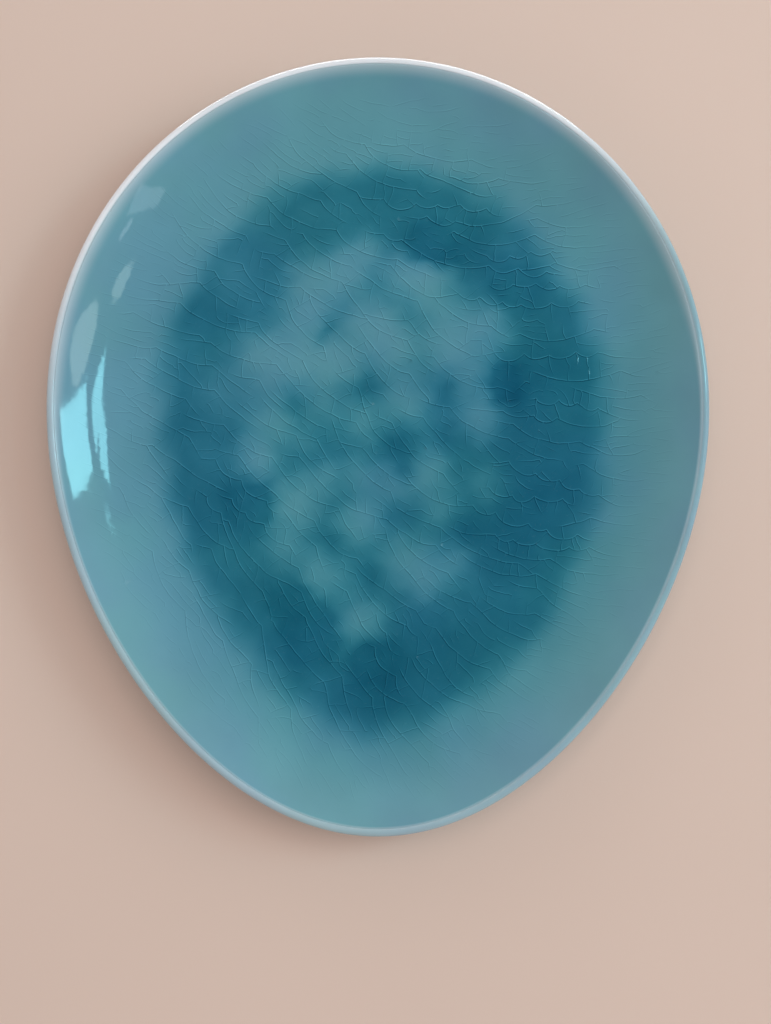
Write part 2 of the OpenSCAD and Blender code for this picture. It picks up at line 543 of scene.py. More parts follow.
@dataclass
class Crackle:
    """A network of cracks, grown one at a time until each meets another or fades out. Millimetres.

    Long cracks run in scallops: each is a shallow arc like a smile, and the next starts with a cusp.
    Rungs then join them, and short cracks break up what is left.
    """

    outline: Outline
    seed: int = 11
    step: float = 1.1
    cell: float = 2.6
    join_gap: float = 0.9
    side_by_side: float = 1.7
    fade: float = 3.0
    # Where the long cracks drift: x, y and bearing in degrees
    drifts: tuple = (
        (-60, 85, -40), (-20, 104, -38), (-30, 74, -24), (5, 84, -18), (50, 85, 2), (80, 60, 2),
        (-88, 50, -12), (-62, 45, -22), (-90, 5, -25), (-72, 5, -38), (-40, 35, -38), (-30, 0, -46),
        (0, 40, -42), (0, 10, -46), (25, 20, -24), (50, 20, -4), (80, 20, 0), (60, -15, -16),
        (90, -20, 0), (20, -20, -28), (0, -20, -44), (-30, -30, -48), (-60, -40, -54), (-40, -72, -58),
        (0, -60, -52), (0, -92, -66), (30, -50, -36), (62, -60, -18), (30, -92, -40), (20, 112, -6),
    )
    # Deep pools whose crackle is scaly: x, y and radius
    pools: tuple = ((22, 84, 20), (52, 58, 15), (62, 22, 16), (60, -24, 18), (-48, -20, 12), (2, -76, 13))
    scale_length: float = 10.0
    scale_sweep: float = 84.0
    ranks: tuple = (
        CrackRank(
            spacing=11.0, shortest=32.0, longest=100.0, half_width=0.31, strength=1.05,
            turn=0.0, scatter=10.0, reach=24.0, scallop=30.0, sweep=46.0,
        ),
        CrackRank(
            spacing=6.4, shortest=4.0, longest=18.0, half_width=0.28, strength=1.0,
            turn=2.0, scatter=26.0, reach=26.0, scallop=12.0, sweep=40.0,
        ),
        CrackRank(
            spacing=3.6, shortest=4.0, longest=26.0, half_width=0.25, strength=0.95,
            turn=4.0, scatter=9.0, reach=13.0, until=37.0, scallop=22.0, sweep=16.0,
        ),
        CrackRank(
            spacing=3.4, shortest=1.6, longest=6.0, half_width=0.24, strength=0.95,
            turn=-6.0, scatter=32.0, reach=54.0,
        ),
        CrackRank(
            spacing=5.2, shortest=1.4, longest=5.0, half_width=0.24, strength=0.85,
            turn=56.0, scatter=32.0, reach=30.0,
        ),
    )
    rim_samples: int = 720
    tries_per_cell: int = 7
    # How much scallops vary in length and in sweep
    scallop_spread: tuple = (0.65, 1.35)
    sweep_spread: tuple = (0.7, 1.2)
    # A crack stops at this share of its reach, or beside another whose bearing is this near its own
    stop_share: float = 0.7
    same_way: float = 0.9
    # The share of its shortest length that a crack needs to be kept
    kept_share: float = 0.8
    # A free end's strength and its width, as shares, and how strength comes and goes along a crack
    end_strength: float = 0.1
    end_width: float = 0.4
    uneven: float = 0.3
    uneven_run: float = 2.3
    rung_gap: float = 4.6
    rung_gap_spread: tuple = (0.6, 1.8)
    rung_longest: float = 8.5
    rung_length_spread: tuple = (0.5, 1.0)
    rung_half_width: float = 0.25
    rung_strength: float = 0.9
    # How far a rung leans from square, bends at each step and strays, and how much stray it keeps
    rung_lean: float = 0.5
    rung_bend: float = 0.05
    rung_stray: float = 0.12
    rung_stray_kept: float = 0.6
    # A rung needs this much room round a place just beside its crack
    rung_aside: float = 1.6
    rung_room: float = 1.9
    # Cracks are stronger towards the broad end, so their seams rise more and their painted light and shade
    # are stronger: strength at the narrow and the broad end
    narrow_strength: float = 0.8
    broad_strength: float = 1.25
    # In the scaly pools the cracks gape
    pool_gape: float = 1.12
    # A crack's bearing strays at random: how much of its last stray it keeps, and how far it strays
    stray_kept: float = 0.72
    stray: float = 0.075
    # How far a drift's pull reaches, and the least pull that is left far from all of them
    drift_reach: float = 17.0
    least_pull: float = 1e-9
    rung_reach: float = 27.0
    cracks: list = field(default_factory=list)
    _grid: dict = field(default_factory=dict)

    def __post_init__(self) -> None:
        """Readies the random draws and the drift's weights."""
        self._random = np.random.default_rng(self.seed)
        table = np.array(self.drifts, float)
        self._places = table[:, :2]
        twice = np.radians(2.0 * table[:, 2])
        self._doubled = np.stack([np.cos(twice), np.sin(twice)], axis=-1)
        turns = np.linspace(0.0, TURN, self.rim_samples, endpoint=False)
        rim = self.outline.edge(turns) / MM
        bearings = np.arctan2(rim[:, 1], rim[:, 0]) % TURN
        order = np.argsort(bearings)
        self._bearings = bearings[order]
        self._reaches = np.linalg.norm(rim, axis=-1)[order]

    def _depth_in(self, x: float, y: float) -> float:
        """Rough distance from a place to the plate's edge."""
        reach = np.interp(math.atan2(y, x) % TURN, self._bearings, self._reaches, period=TURN)
        return float(reach) - math.hypot(x, y)

    def _drift(self, x: float, y: float) -> float:
        """Bearing of the long cracks at a place.

        Args:
            x: the place's x.
            y: its y.

        Returns:
            The bearing in radians.
        """
        gap = self._places - np.array([x, y])
        weight = np.exp(-(gap * gap).sum(-1) / (2.0 * self.drift_reach**2)) + self.least_pull
        mean = (weight[:, None] * self._doubled).sum(0)
        return 0.5 * math.atan2(mean[1], mean[0])

    def _near(self, x: float, y: float, own: int, radius: float) -> tuple | None:
        """The nearest point of another crack within a radius, as distance, x, y and bearing.

        Args:
            x: the place's x.
            y: its y.
            own: a crack that doesn't count.
            radius: how far to look.

        Returns:
            The point, or None.
        """
        best = None
        cells = math.ceil(radius / self.cell)
        column, row = math.floor(x / self.cell), math.floor(y / self.cell)
        for i in range(column - cells, column + cells + 1):
            for j in range(row - cells, row + cells + 1):
                for px, py, bearing, owner in self._grid.get((i, j), ()):
                    gap = math.hypot(px - x, py - y)
                    if owner != own and gap < radius and (best is None or gap < best[0]):
                        best = (gap, px, py, bearing)
        return best

    def _in_pool(self, x: float, y: float) -> bool:
        """Whether a place is in one of the scaly pools."""
        return any(math.hypot(x - px, y - py) < radius for px, py, radius in self.pools)

    def _scallop(self, rank: CrackRank, x: float, y: float) -> tuple:
        """Length and sweep of the next scallop at a place.

        Args:
            rank: the crack's generation.
            x: the place's x.
            y: its y.

        Returns:
            The length, and the sweep in radians.
        """
        if rank.scallop and self._in_pool(x, y):
            length, sweep = self.scale_length, self.scale_sweep
        else:
            length, sweep = rank.scallop or rank.longest, rank.sweep
        spread = self._random.uniform(*self.scallop_spread)
        return length * spread, math.radians(sweep) * self._random.uniform(*self.sweep_spread)

    def _walk(self, rank: CrackRank, start: tuple, heading: Heading) -> tuple:
        """Grows one end of a crack.

        Args:
            rank: the crack's generation.
            start: where it starts.
            heading: how it sets out.

        Returns:
            The points after the start, and whether the end met another crack.
        """
        x, y = start
        sense, phase = heading.sense, heading.phase
        own = len(self.cracks)
        points = []
        wobble = 0.0
        scallop, sweep = self._scallop(rank, x, y)
        for _ in range(max(1, round(heading.length / self.step))):
            wobble = self.stray_kept * wobble + self.stray * self._random.normal()
            bearing = self._drift(x, y) + heading.turn + sweep * (phase - 0.5) + wobble
            phase += sense * self.step / scallop
            if not 0.0 <= phase <= 1.0:
                phase = 0.5 - 0.5 * sense
                scallop, sweep = self._scallop(rank, x, y)
            x += sense * self.step * math.cos(bearing)
            y += sense * self.step * math.sin(bearing)
            if self._depth_in(x, y) < rank.reach * self.stop_share:
                return points, False
            met = self._near(x, y, own, self.side_by_side)
            beside = met and abs(math.cos(met[3] - bearing)) > self.same_way and len(points) > 1
            if beside and met[0] > self.join_gap:
                return points, False
            if met and met[0] < self.join_gap:
                points.append((met[1], met[2]))
                return points, True
            points.append((x, y))
        return points, False

    def _keep(self, line: np.ndarray, half_width: float, strength: float, met: tuple) -> None:
        """Keeps a crack, thinner towards the ends that met nothing.

        Args:
            line: its middle line.
            half_width: half its width where it is widest.
            strength: its strength there.
            met: whether its start and its end met another crack.
        """
        runs = np.concatenate([[0.0], np.cumsum(np.linalg.norm(np.diff(line, axis=0), axis=1))])
        fade = np.ones(len(line))
        if not met[0]:
            fade = np.minimum(fade, runs / self.fade)
        if not met[1]:
            fade = np.minimum(fade, (runs[-1] - runs) / self.fade)
        fade = np.clip(fade, self.end_strength, 1.0)
        uneven = 1.0 + self.uneven * np.sin(runs / self.uneven_run + self._random.uniform(0.0, TURN))
        broad = ease(0.5 + line[:, 1] * MM / self.outline.length)
        broad_end_gain = self.narrow_strength + (self.broad_strength - self.narrow_strength) * broad
        gape = np.array([self.pool_gape if self._in_pool(x, y) else 1.0 for x, y in line])
        widths = half_width * gape * (self.end_width + (1.0 - self.end_width) * fade)
        self.cracks.append(Crack(line, widths, strength * fade * uneven * broad_end_gain * gape))
        along = np.gradient(line, axis=0)
        for (px, py), (dx, dy) in zip(line, along):
            cell = (math.floor(px / self.cell), math.floor(py / self.cell))
            self._grid.setdefault(cell, []).append((px, py, math.atan2(dy, dx), len(self.cracks) - 1))

    def _add(self, rank: CrackRank, start: tuple) -> None:
        """Grows a crack both ways from its start, and keeps it if it is long enough.

        Args:
            rank: the crack's generation.
            start: x and y of its start.
        """
        random = self._random
        turn = math.radians(rank.turn + rank.scatter * random.uniform(-1.0, 1.0))
        length = random.uniform(rank.shortest, rank.longest)
        phase = random.uniform(0.0, 1.0)
        ahead, met_ahead = self._walk(rank, start, Heading(turn, 1, phase, 0.5 * length))
        behind, met_behind = self._walk(rank, start, Heading(turn, -1, phase, 0.5 * length))
        line = np.array(behind[::-1] + [start] + ahead)
        if len(line) > 2 and len(line) * self.step > self.kept_share * rank.shortest:
            self._keep(line, rank.half_width, rank.strength, (met_behind, met_ahead))

    def _add_rungs(self) -> None:
        """Joins long cracks with short ones that start square to them."""
        random = self._random
        for parent, crack in enumerate(list(self.cracks)):
            along = np.gradient(crack.points, axis=0)
            place = random.uniform(0.0, self.rung_gap)
            while place / self.step < len(crack.points) - 1:
                index = int(place / self.step)
                place += self.rung_gap * random.uniform(*self.rung_gap_spread)
                side = random.choice([-1.0, 1.0])
                lean = random.uniform(-self.rung_lean, self.rung_lean)
                bearing = math.atan2(along[index, 1], along[index, 0]) + side * (0.5 * math.pi + lean)
                self._add_rung(tuple(crack.points[index]), bearing, parent)

    def _add_rung(self, start: tuple, bearing: float, parent: int) -> None:
        """Grows one rung, and keeps it if it meets another crack or is long enough.

        Args:
            start: x and y of its start.
            bearing: the way it sets out.
            parent: the crack that it starts from.
        """
        x, y = start
        if self._depth_in(x, y) < self.rung_reach:
            return
        aside = (x + self.rung_aside * math.cos(bearing), y + self.rung_aside * math.sin(bearing))
        if self._near(*aside, parent, self.rung_room):
            return
        points, wobble = [start], 0.0
        bend = self.rung_bend * self._random.normal()
        met = None
        longest = self.rung_longest * self._random.uniform(*self.rung_length_spread)
        for _ in range(round(longest / self.step)):
            wobble = self.rung_stray_kept * wobble + self.rung_stray * self._random.normal()
            bearing += bend
            x += self.step * math.cos(bearing + wobble)
            y += self.step * math.sin(bearing + wobble)
            met = self._near(x, y, parent, self.join_gap)
            if met:
                points.append((met[1], met[2]))
                break
            points.append((x, y))
        if len(points) > 2:
            self._keep(np.array(points), self.rung_half_width, self.rung_strength, (True, bool(met)))

    def _wanted(self, rank: CrackRank, x: float, y: float) -> bool:
        """Whether a crack of this generation may start at a place.

        Args:
            rank: the generation.
            x: the place's x.
            y: its y.

        Returns:
            True where there is room.
        """
        if not rank.reach <= self._depth_in(x, y) <= rank.until:
            return False
        return self._near(x, y, -1, 0.5 * rank.spacing) is None

    def grow(self) -> list:
        """Grows every generation.

        Returns:
            The cracks.
        """
        half = 0.5 * np.array([self.outline.box_width, self.outline.length]) / MM
        for order, rank in enumerate(self.ranks):
            tries = int(self.tries_per_cell * 4.0 * half[0] * half[1] / rank.spacing**2)
            for x, y in self._random.uniform(-half, half, (tries, 2)):
                if self._wanted(rank, x, y):
                    self._add(rank, (float(x), float(y)))
            if order == 0:
                self._add_rungs()
        return self.cracks


# ---------------------------------------------------------------- meshes


@dataclass
class Shell:
    """A mesh being put together from rings."""

    vertices: list = field(default_factory=list)
    faces: list = field(default_factory=list)
    depths: list = field(default_factory=list)

    def ring(self, points: np.ndarray, depth: float | np.ndarray) -> int:
        """Adds a ring of points with a glaze depth, and returns the index of its first point.

        Args:
            points: x, y and z of each point.
            depth: one depth, or one for each point.

        Returns:
            The index.
        """
        first = len(self.vertices)
        self.vertices += [tuple(p) for p in points]
        self.depths += np.broadcast_to(depth, len(points)).tolist()
        return first

    def strip(self, first: int, second: int, count: int) -> None:
        """Joins two rings of count points with quads.

        Args:
            first: the first ring's first point.
            second: the second ring's.
            count: how many points each has.
        """
        for j in range(count):
            k = (j + 1) % count
            self.faces.append((first + j, first + k, second + k, second + j))

    def join(self, rows: list, count: int, closed: bool) -> None:
        """Joins each ring to the next, and the last to the first where the section is closed.

        Args:
            rows: each ring's first point.
            count: how many points each has.
            closed: whether the last ring joins the first.
        """
        following = rows[1:] + rows[:1] if closed else rows[1:]
        for first, second in zip(rows, following):
            self.strip(first, second, count)

    def cap(self, first: int, count: int, centre: tuple, depth: float) -> None:
        """Closes a ring with a fan round its centre."""
        middle = self.ring(np.array([centre]), depth)
        self.faces += [(first + j, first + (j + 1) % count, middle) for j in range(count)]

    def build(self, name: str) -> bpy.types.Object:
        """Makes the object, with its normals outwards and smooth shading.

        Args:
            name: the piece's name.

        Returns:
            The object.
        """
        mesh = bpy.data.meshes.new(name)
        mesh.from_pydata(self.vertices, [], self.faces)
        layer = mesh.attributes.new(DEPTH_LAYER, "FLOAT", "POINT")
        layer.data.foreach_set("value", np.array(self.depths, np.float32) / MM)
        return finish_mesh(name, mesh)


def finish_mesh(name: str, mesh: bpy.types.Mesh, flat: np.ndarray | None = None) -> bpy.types.Object:
    """Turns the faces outwards, shades them and links the object.

    Args:
        name: the piece's name.
        mesh: its mesh.
        flat: faces that keep their own normal, or None for smooth shading all over.

    Returns:
        The new object.
    """
    work = bmesh.new()
    work.from_mesh(mesh)
    bmesh.ops.recalc_face_normals(work, faces=work.faces)
    open_edges = sum(not edge.is_manifold for edge in work.edges)
    work.to_mesh(mesh)
    work.free()
    smooth = np.ones(len(mesh.polygons), bool)
    if flat is not None:
        smooth &= ~flat
    mesh.polygons.foreach_set("use_smooth", smooth)
    mesh.update()
    piece = bpy.data.objects.new(name, mesh)
    bpy.context.scene.collection.objects.link(piece)
    log.info("%s: %d faces, %d open edges", name, len(mesh.polygons), open_edges)
    return piece


@dataclass
class Plate:
    """What every coat and part of the plate is measured from."""

    outline: Outline
    profile: Profile
    coat: Coat
    around: int = 360
    lip_steps: int = 33
    # Where the meshes' first ring past the lip runs
    first_inset: float = 4 * MM
    foot_inset: float = 46 * MM
    foot_width: float = 6 * MM
    dry_margin: float = 2 * MM
    # The glaze runs thin towards the lip: its share there, and how far in it is whole again
    rim_share: float = 0.62
    rim_width: float = 1.6 * MM
    # At the broad end it draws back further, which leaves a pale band under the lip: painted light at the
    # broad end
    broad_rim_share: float = 0.56
    broad_rim_width: float = 18 * MM
    broad_bearing: float = math.radians(100)
    broad_spread: float = 1.3
    broad_reach: float = 0.45

    @classmethod
    def from_frame(cls) -> "Plate":
        """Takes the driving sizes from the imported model's box.

        Returns:
            The plate.
        """
        low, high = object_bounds()
        outline = Outline(length=high[1] - low[1], box_width=high[0] - low[0])
        profile = Profile(outline, height=high[2])
        return cls(outline, profile, Coat(profile))

    @property
    def angles(self) -> np.ndarray:
        """Evenly spaced angles round the plate."""
        return np.linspace(0.0, TURN, self.around, endpoint=False)

    @property
    def lip_turns(self) -> np.ndarray:
        """Angles over the rolled lip, from the face to the back."""
        return np.linspace(self.profile.lip_over, self.profile.lip_under, self.lip_steps)

    def broad(self, bearing: np.ndarray) -> np.ndarray:
        """How near a bearing is to the broad end, from 0 to 1."""
        return ease(self.broad_spread * np.cos(bearing - self.broad_bearing) + self.broad_reach)

    def rim_depth(self, bearing: np.ndarray, inset: np.ndarray) -> np.ndarray:
        """Share of the glaze left on the face at an inset from where the lip ends.

        Args:
            bearing: the bearing of each point.
            inset: its distance from the lip's end.

        Returns:
            The share at each point.
        """
        crisp = self.rim_share + (1.0 - self.rim_share) * ease(inset / self.rim_width)
        # The pale band at the broad end is painted light
        drawn = np.sqrt(np.maximum(inset, 0.0) / self.broad_rim_width)
        painted_light_band = self.broad_rim_share + (1.0 - self.broad_rim_share) * ease(drawn)
        return crisp + (painted_light_band - crisp) * self.broad(bearing)

    def level(self, inset: float, height: float) -> np.ndarray:
        """A ring of points at one height."""
        flat = self.outline.ring(self.angles, inset)
        return np.column_stack([flat, np.full(self.around, height)])

    def skin(self, station: Station) -> np.ndarray:
        """A ring of points on the outer skin."""
        return self.level(station.inset, station.height)

    def under(self, station: Station, coat: float) -> np.ndarray:
        """A ring of points under a coat of glaze."""
        flat = self.outline.ring(self.angles, station.inset - coat * station.face_in)
        return np.column_stack([flat, np.full(self.around, station.height - coat * station.face_up)])

    def clay_under_face(self, inset: float) -> np.ndarray:
        """A ring of points on the clay under the face glaze.

        Args:
            inset: where the ring runs.

        Returns:
            x, y and z of each point.
        """
        station = self.profile.face(inset)
        flat = self.outline.ring(self.angles, inset)
        insets = np.full(self.around, inset)
        coat = self.coat.thickness(flat, insets)
        height = station.height + self.coat.swell(flat, insets) - coat * station.face_up
        below = self.outline.ring(self.angles, insets - coat * station.face_in)
        return np.column_stack([below, height])


# ---------------------------------------------------------------- materials


# Most of a noise's values lie between these
NOISE_RANGE = (0.3, 0.7)
# Where a colour mix has its share and its two colours among its inputs, and its result
MIX_SHARE, MIX_FIRST, MIX_SECOND = 0, 6, 7
MIX_RESULT = 2


class Sheet:
    """A node tree being laid out."""

    def __init__(self, tree: bpy.types.NodeTree) -> None:
        """Starts on a tree."""
        self.tree = tree

    def add(self, kind: str, inputs: dict | None = None, **settings: object) -> bpy.types.Node:
        """Adds a node.

        Args:
            kind: the node's type.
            inputs: values or output sockets for its inputs, by name or index.
            settings: the node's own properties.

        Returns:
            The node.
        """
        node = self.tree.nodes.new(kind)
        for key, value in settings.items():
            setattr(node, key, value)
        for key, value in (inputs or {}).items():
            if isinstance(value, bpy.types.NodeSocket):
                self.tree.links.new(value, node.inputs[key])
            else:
                node.inputs[key].default_value = value
        return node

    def maths(self, operation: str, first: object, second: object = 0.0, clamp: bool = False) -> object:
        """A Math node's output."""
        inputs = {0: first, 1: second}
        return self.add("ShaderNodeMath", inputs, operation=operation, use_clamp=clamp).outputs[0]

    def mix(self, share: object, first: object, second: object, blend: str = "MIX") -> object:
        """A colour mix's output.

        Args:
            share: how much of the second colour.
            first: a colour or a socket.
            second: a colour or a socket.
            blend: how they mix.

        Returns:
            The output socket.
        """
        inputs = {MIX_SHARE: share, MIX_FIRST: first, MIX_SECOND: second}
        node = self.add("ShaderNodeMix", inputs, data_type="RGBA", blend_type=blend)
        return node.outputs[MIX_RESULT]

    def remap(self, value: object, low: float, high: float, to_low: float, to_high: float) -> object:
        """A clamped and smooth Map Range's output.

        Args:
            value: a socket.
            low: where it starts.
            high: where it ends.
            to_low: what it gives at the start.
            to_high: what it gives at the end.

        Returns:
            The output socket.
        """
        inputs = {0: value, 1: low, 2: high, 3: to_low, 4: to_high}
        node = self.add("ShaderNodeMapRange", inputs, interpolation_type="SMOOTHSTEP")
        return node.outputs[0]

    def spread(self, noise: object, to_low: float, to_high: float) -> object:
        """A noise's usual range stretched to another one."""
        return self.remap(noise, *NOISE_RANGE, to_low, to_high)

    def noise(self, place: object, scale: object, detail: float) -> bpy.types.Node:
        """A Noise Texture node."""
        return self.add("ShaderNodeTexNoise", {"Vector": place, "Scale": scale, "Detail": detail})


class Group:
    """A shader node group with named inputs and outputs."""

    def __init__(self, name: str, inputs: dict, outputs: dict) -> None:
        """Makes the group.

        Args:
            name: the group's name.
            inputs: socket types and default values by socket name.
            outputs: socket types by socket name.
        """
        self.tree = bpy.data.node_groups.new(name, "ShaderNodeTree")
        for label, (kind, value) in inputs.items():
            socket = self.tree.interface.new_socket(label, in_out="INPUT", socket_type=kind)
            if value is not None:
                socket.default_value = value
        for label, kind in outputs.items():
            self.tree.interface.new_socket(label, in_out="OUTPUT", socket_type=kind)
        self.sheet = Sheet(self.tree)
        self.source = self.tree.nodes.new("NodeGroupInput").outputs
        self.sink = self.tree.nodes.new("NodeGroupOutput").inputs

    def give(self, label: str, socket: object) -> None:
        """Links a socket to one of the group's outputs."""
        self.tree.links.new(socket, self.sink[label])

    def place(self, sheet: Sheet, inputs: dict) -> bpy.types.NodeSocket:
        """Places the group in a material, and returns its outputs.

        Args:
            sheet: the material's sheet.
            inputs: values or output sockets by name.

        Returns:
            The node's outputs.
        """
        node = sheet.tree.nodes.new("ShaderNodeGroup")
        node.node_tree = self.tree
        for label, value in inputs.items():
            if isinstance(value, bpy.types.NodeSocket):
                sheet.tree.links.new(value, node.inputs[label])
            else:
                node.inputs[label].default_value = value
        return node.outputs


FLOAT, COLOUR, VECTOR = "NodeSocketFloat", "NodeSocketColor", "NodeSocketVector"


@dataclass
class Effects:
    """The effects that several finishes share, with the sizes of their patterns."""

    melt: Group = field(init=False)
    mottle: Group = field(init=False)
    hairline: Group = field(init=False)
    grain: Group = field(init=False)
    # Clouds and tints in a fired glaze: a tint's scale is a share of the clouds', and it lies elsewhere
    cloud_detail: float = 3.0
    tint_detail: float = 2.0
    tint_scale: float = 0.6
    tint_shift: tuple = (0.31, 0.17, 0.05)
    # Where the noise is high enough for a fleck
    fleck_from: float = 0.66
    fleck_full: float = 0.76
    # What bends the lines of fine crazing, and how far in metres
    warp_scale: float = 70.0
    warp_push: float = 0.006
    # Bare clay: sand, smoke and specks of grit
    sand_scale: float = 1400.0
    sand_detail: float = 4.0
    smoke_scale: float = 40.0
    smoke_detail: float = 3.0
    grit_scale: float = 700.0
    speck_core: float = 0.05
    speck_edge: float = 0.2
    speck_colour: tuple = (0.12, 0.07, 0.04, 1.0)
    speck_share: float = 0.5
    speck_height: float = 0.4

    def __post_init__(self) -> None:
        """Builds each group once."""
        self.melt = self._build_melt()
        self.mottle = self._build_mottle()
        self.hairline = self._build_hairline()
        self.grain = self._build_grain()

    @staticmethod
    def _build_melt() -> Group:
        """Coloured glass over clay: the deeper it lies, the more of each colour it holds back.

        Returns:
            The group.
        """
        inputs = {
            "Depth": (FLOAT, 1.0),
            "Clay": (COLOUR, (0.5, 0.5, 0.5, 1.0)),
            "Holds Back": (VECTOR, (0.5, 0.2, 0.15)),
            "Full Depth": (FLOAT, 3.0),
            "Curve": (FLOAT, 3.0),
        }
        group = Group("melt_colour", inputs, {"Colour": COLOUR})
        sheet = group.sheet
        parts = sheet.add("ShaderNodeSeparateXYZ", {0: group.source["Holds Back"]}).outputs
        share = sheet.maths("DIVIDE", group.source["Depth"], group.source["Full Depth"])
        curved = sheet.maths("POWER", share, group.source["Curve"])
        down = sheet.maths("MULTIPLY", curved, sheet.maths("MULTIPLY", group.source["Full Depth"], -1.0))
        passed = [sheet.maths("EXPONENT", sheet.maths("MULTIPLY", down, part)) for part in parts]
        joined = sheet.add("ShaderNodeCombineColor", dict(enumerate(passed))).outputs[0]
        group.give("Colour", sheet.mix(1.0, joined, group.source["Clay"], "MULTIPLY"))
        return group

    def _build_mottle(self) -> Group:
        """Slow clouds and small flecks in a fired glaze.

        Returns:
            The group.
        """
        inputs = {"Place": (VECTOR, None), "Cloud Scale": (FLOAT, 30.0), "Fleck Scale": (FLOAT, 900.0)}
        outputs = {"Cloud": FLOAT, "Tint": FLOAT, "Fleck": FLOAT}
        group = Group("kiln_mottle", inputs, outputs)
        sheet = group.sheet
        place = group.source["Place"]
        scale = group.source["Cloud Scale"]
        group.give("Cloud", sheet.noise(place, scale, self.cloud_detail).outputs["Fac"])
        moved = sheet.add("ShaderNodeVectorMath", {0: place, 1: self.tint_shift}, operation="ADD")
        wider = sheet.maths("MULTIPLY", scale, self.tint_scale)
        tint = sheet.noise(moved.outputs[0], wider, self.tint_detail)
        group.give("Tint", tint.outputs["Fac"])
        fleck = sheet.noise(place, group.source["Fleck Scale"], 1.0).outputs["Fac"]
        group.give("Fleck", sheet.remap(fleck, self.fleck_from, self.fleck_full, 0.0, 1.0))
        return group

    def _build_hairline(self) -> Group:
        """Fine crazing in a thin coat.

        Returns:
            The group.
        """
        inputs = {"Place": (VECTOR, None), "Scale": (FLOAT, 160.0), "Width": (FLOAT, 0.03)}
        group = Group("hairline_craze", inputs, {"Mask": FLOAT})
        sheet = group.sheet
        place = group.source["Place"]
        warp = sheet.noise(place, self.warp_scale, 1.0).outputs["Color"]
        push = sheet.add("ShaderNodeVectorMath", {0: warp, "Scale": self.warp_push}, operation="SCALE")
        bent = sheet.add("ShaderNodeVectorMath", {0: place, 1: push.outputs[0]}, operation="ADD")
        inputs = {"Vector": bent.outputs[0], "Scale": group.source["Scale"]}
        cells = sheet.add("ShaderNodeTexVoronoi", inputs, feature="DISTANCE_TO_EDGE")
        gap = sheet.maths("DIVIDE", cells.outputs["Distance"], group.source["Width"])
        group.give("Mask", sheet.maths("SUBTRACT", 1.0, gap, clamp=True))
        return group

    def _build_grain(self) -> Group:
        """Sandy bare clay: its colour and its height.

        Returns:
            The group.
        """
        inputs = {"Place": (VECTOR, None), "Pale": (COLOUR, None), "Dark": (COLOUR, None)}
        group = Group("clay_grain", inputs, {"Colour": COLOUR, "Height": FLOAT})
        sheet = group.sheet
        place = group.source["Place"]
        sand = sheet.noise(place, self.sand_scale, self.sand_detail).outputs["Fac"]
        smoke = sheet.noise(place, self.smoke_scale, self.smoke_detail).outputs["Fac"]
        cells = sheet.add("ShaderNodeTexVoronoi", {"Vector": place, "Scale": self.grit_scale})
        specks = sheet.remap(cells.outputs["Distance"], self.speck_core, self.speck_edge, 1.0, 0.0)
        base = sheet.mix(sheet.spread(smoke, 0.0, 1.0), group.source["Pale"], group.source["Dark"])
        seen = sheet.maths("MULTIPLY", specks, self.speck_share)
        group.give("Colour", sheet.mix(seen, base, self.speck_colour))
        raised = sheet.maths("MULTIPLY", specks, self.speck_height)
        group.give("Height", sheet.maths("ADD", sand, raised))
        return group


def new_material(name: str) -> tuple[bpy.types.Material, Sheet, bpy.types.Node]:
    """Makes an empty material.

    Args:
        name: its name.

    Returns:
        The material, its sheet and its Principled node.
    """
    material = bpy.data.materials.new(name)
    material.use_nodes = True
    material.node_tree.nodes.clear()
    sheet = Sheet(material.node_tree)
    shader = sheet.add("ShaderNodeBsdfPrincipled")
    sheet.add("ShaderNodeOutputMaterial", {"Surface": shader.outputs["BSDF"]})
    return material, sheet, shader


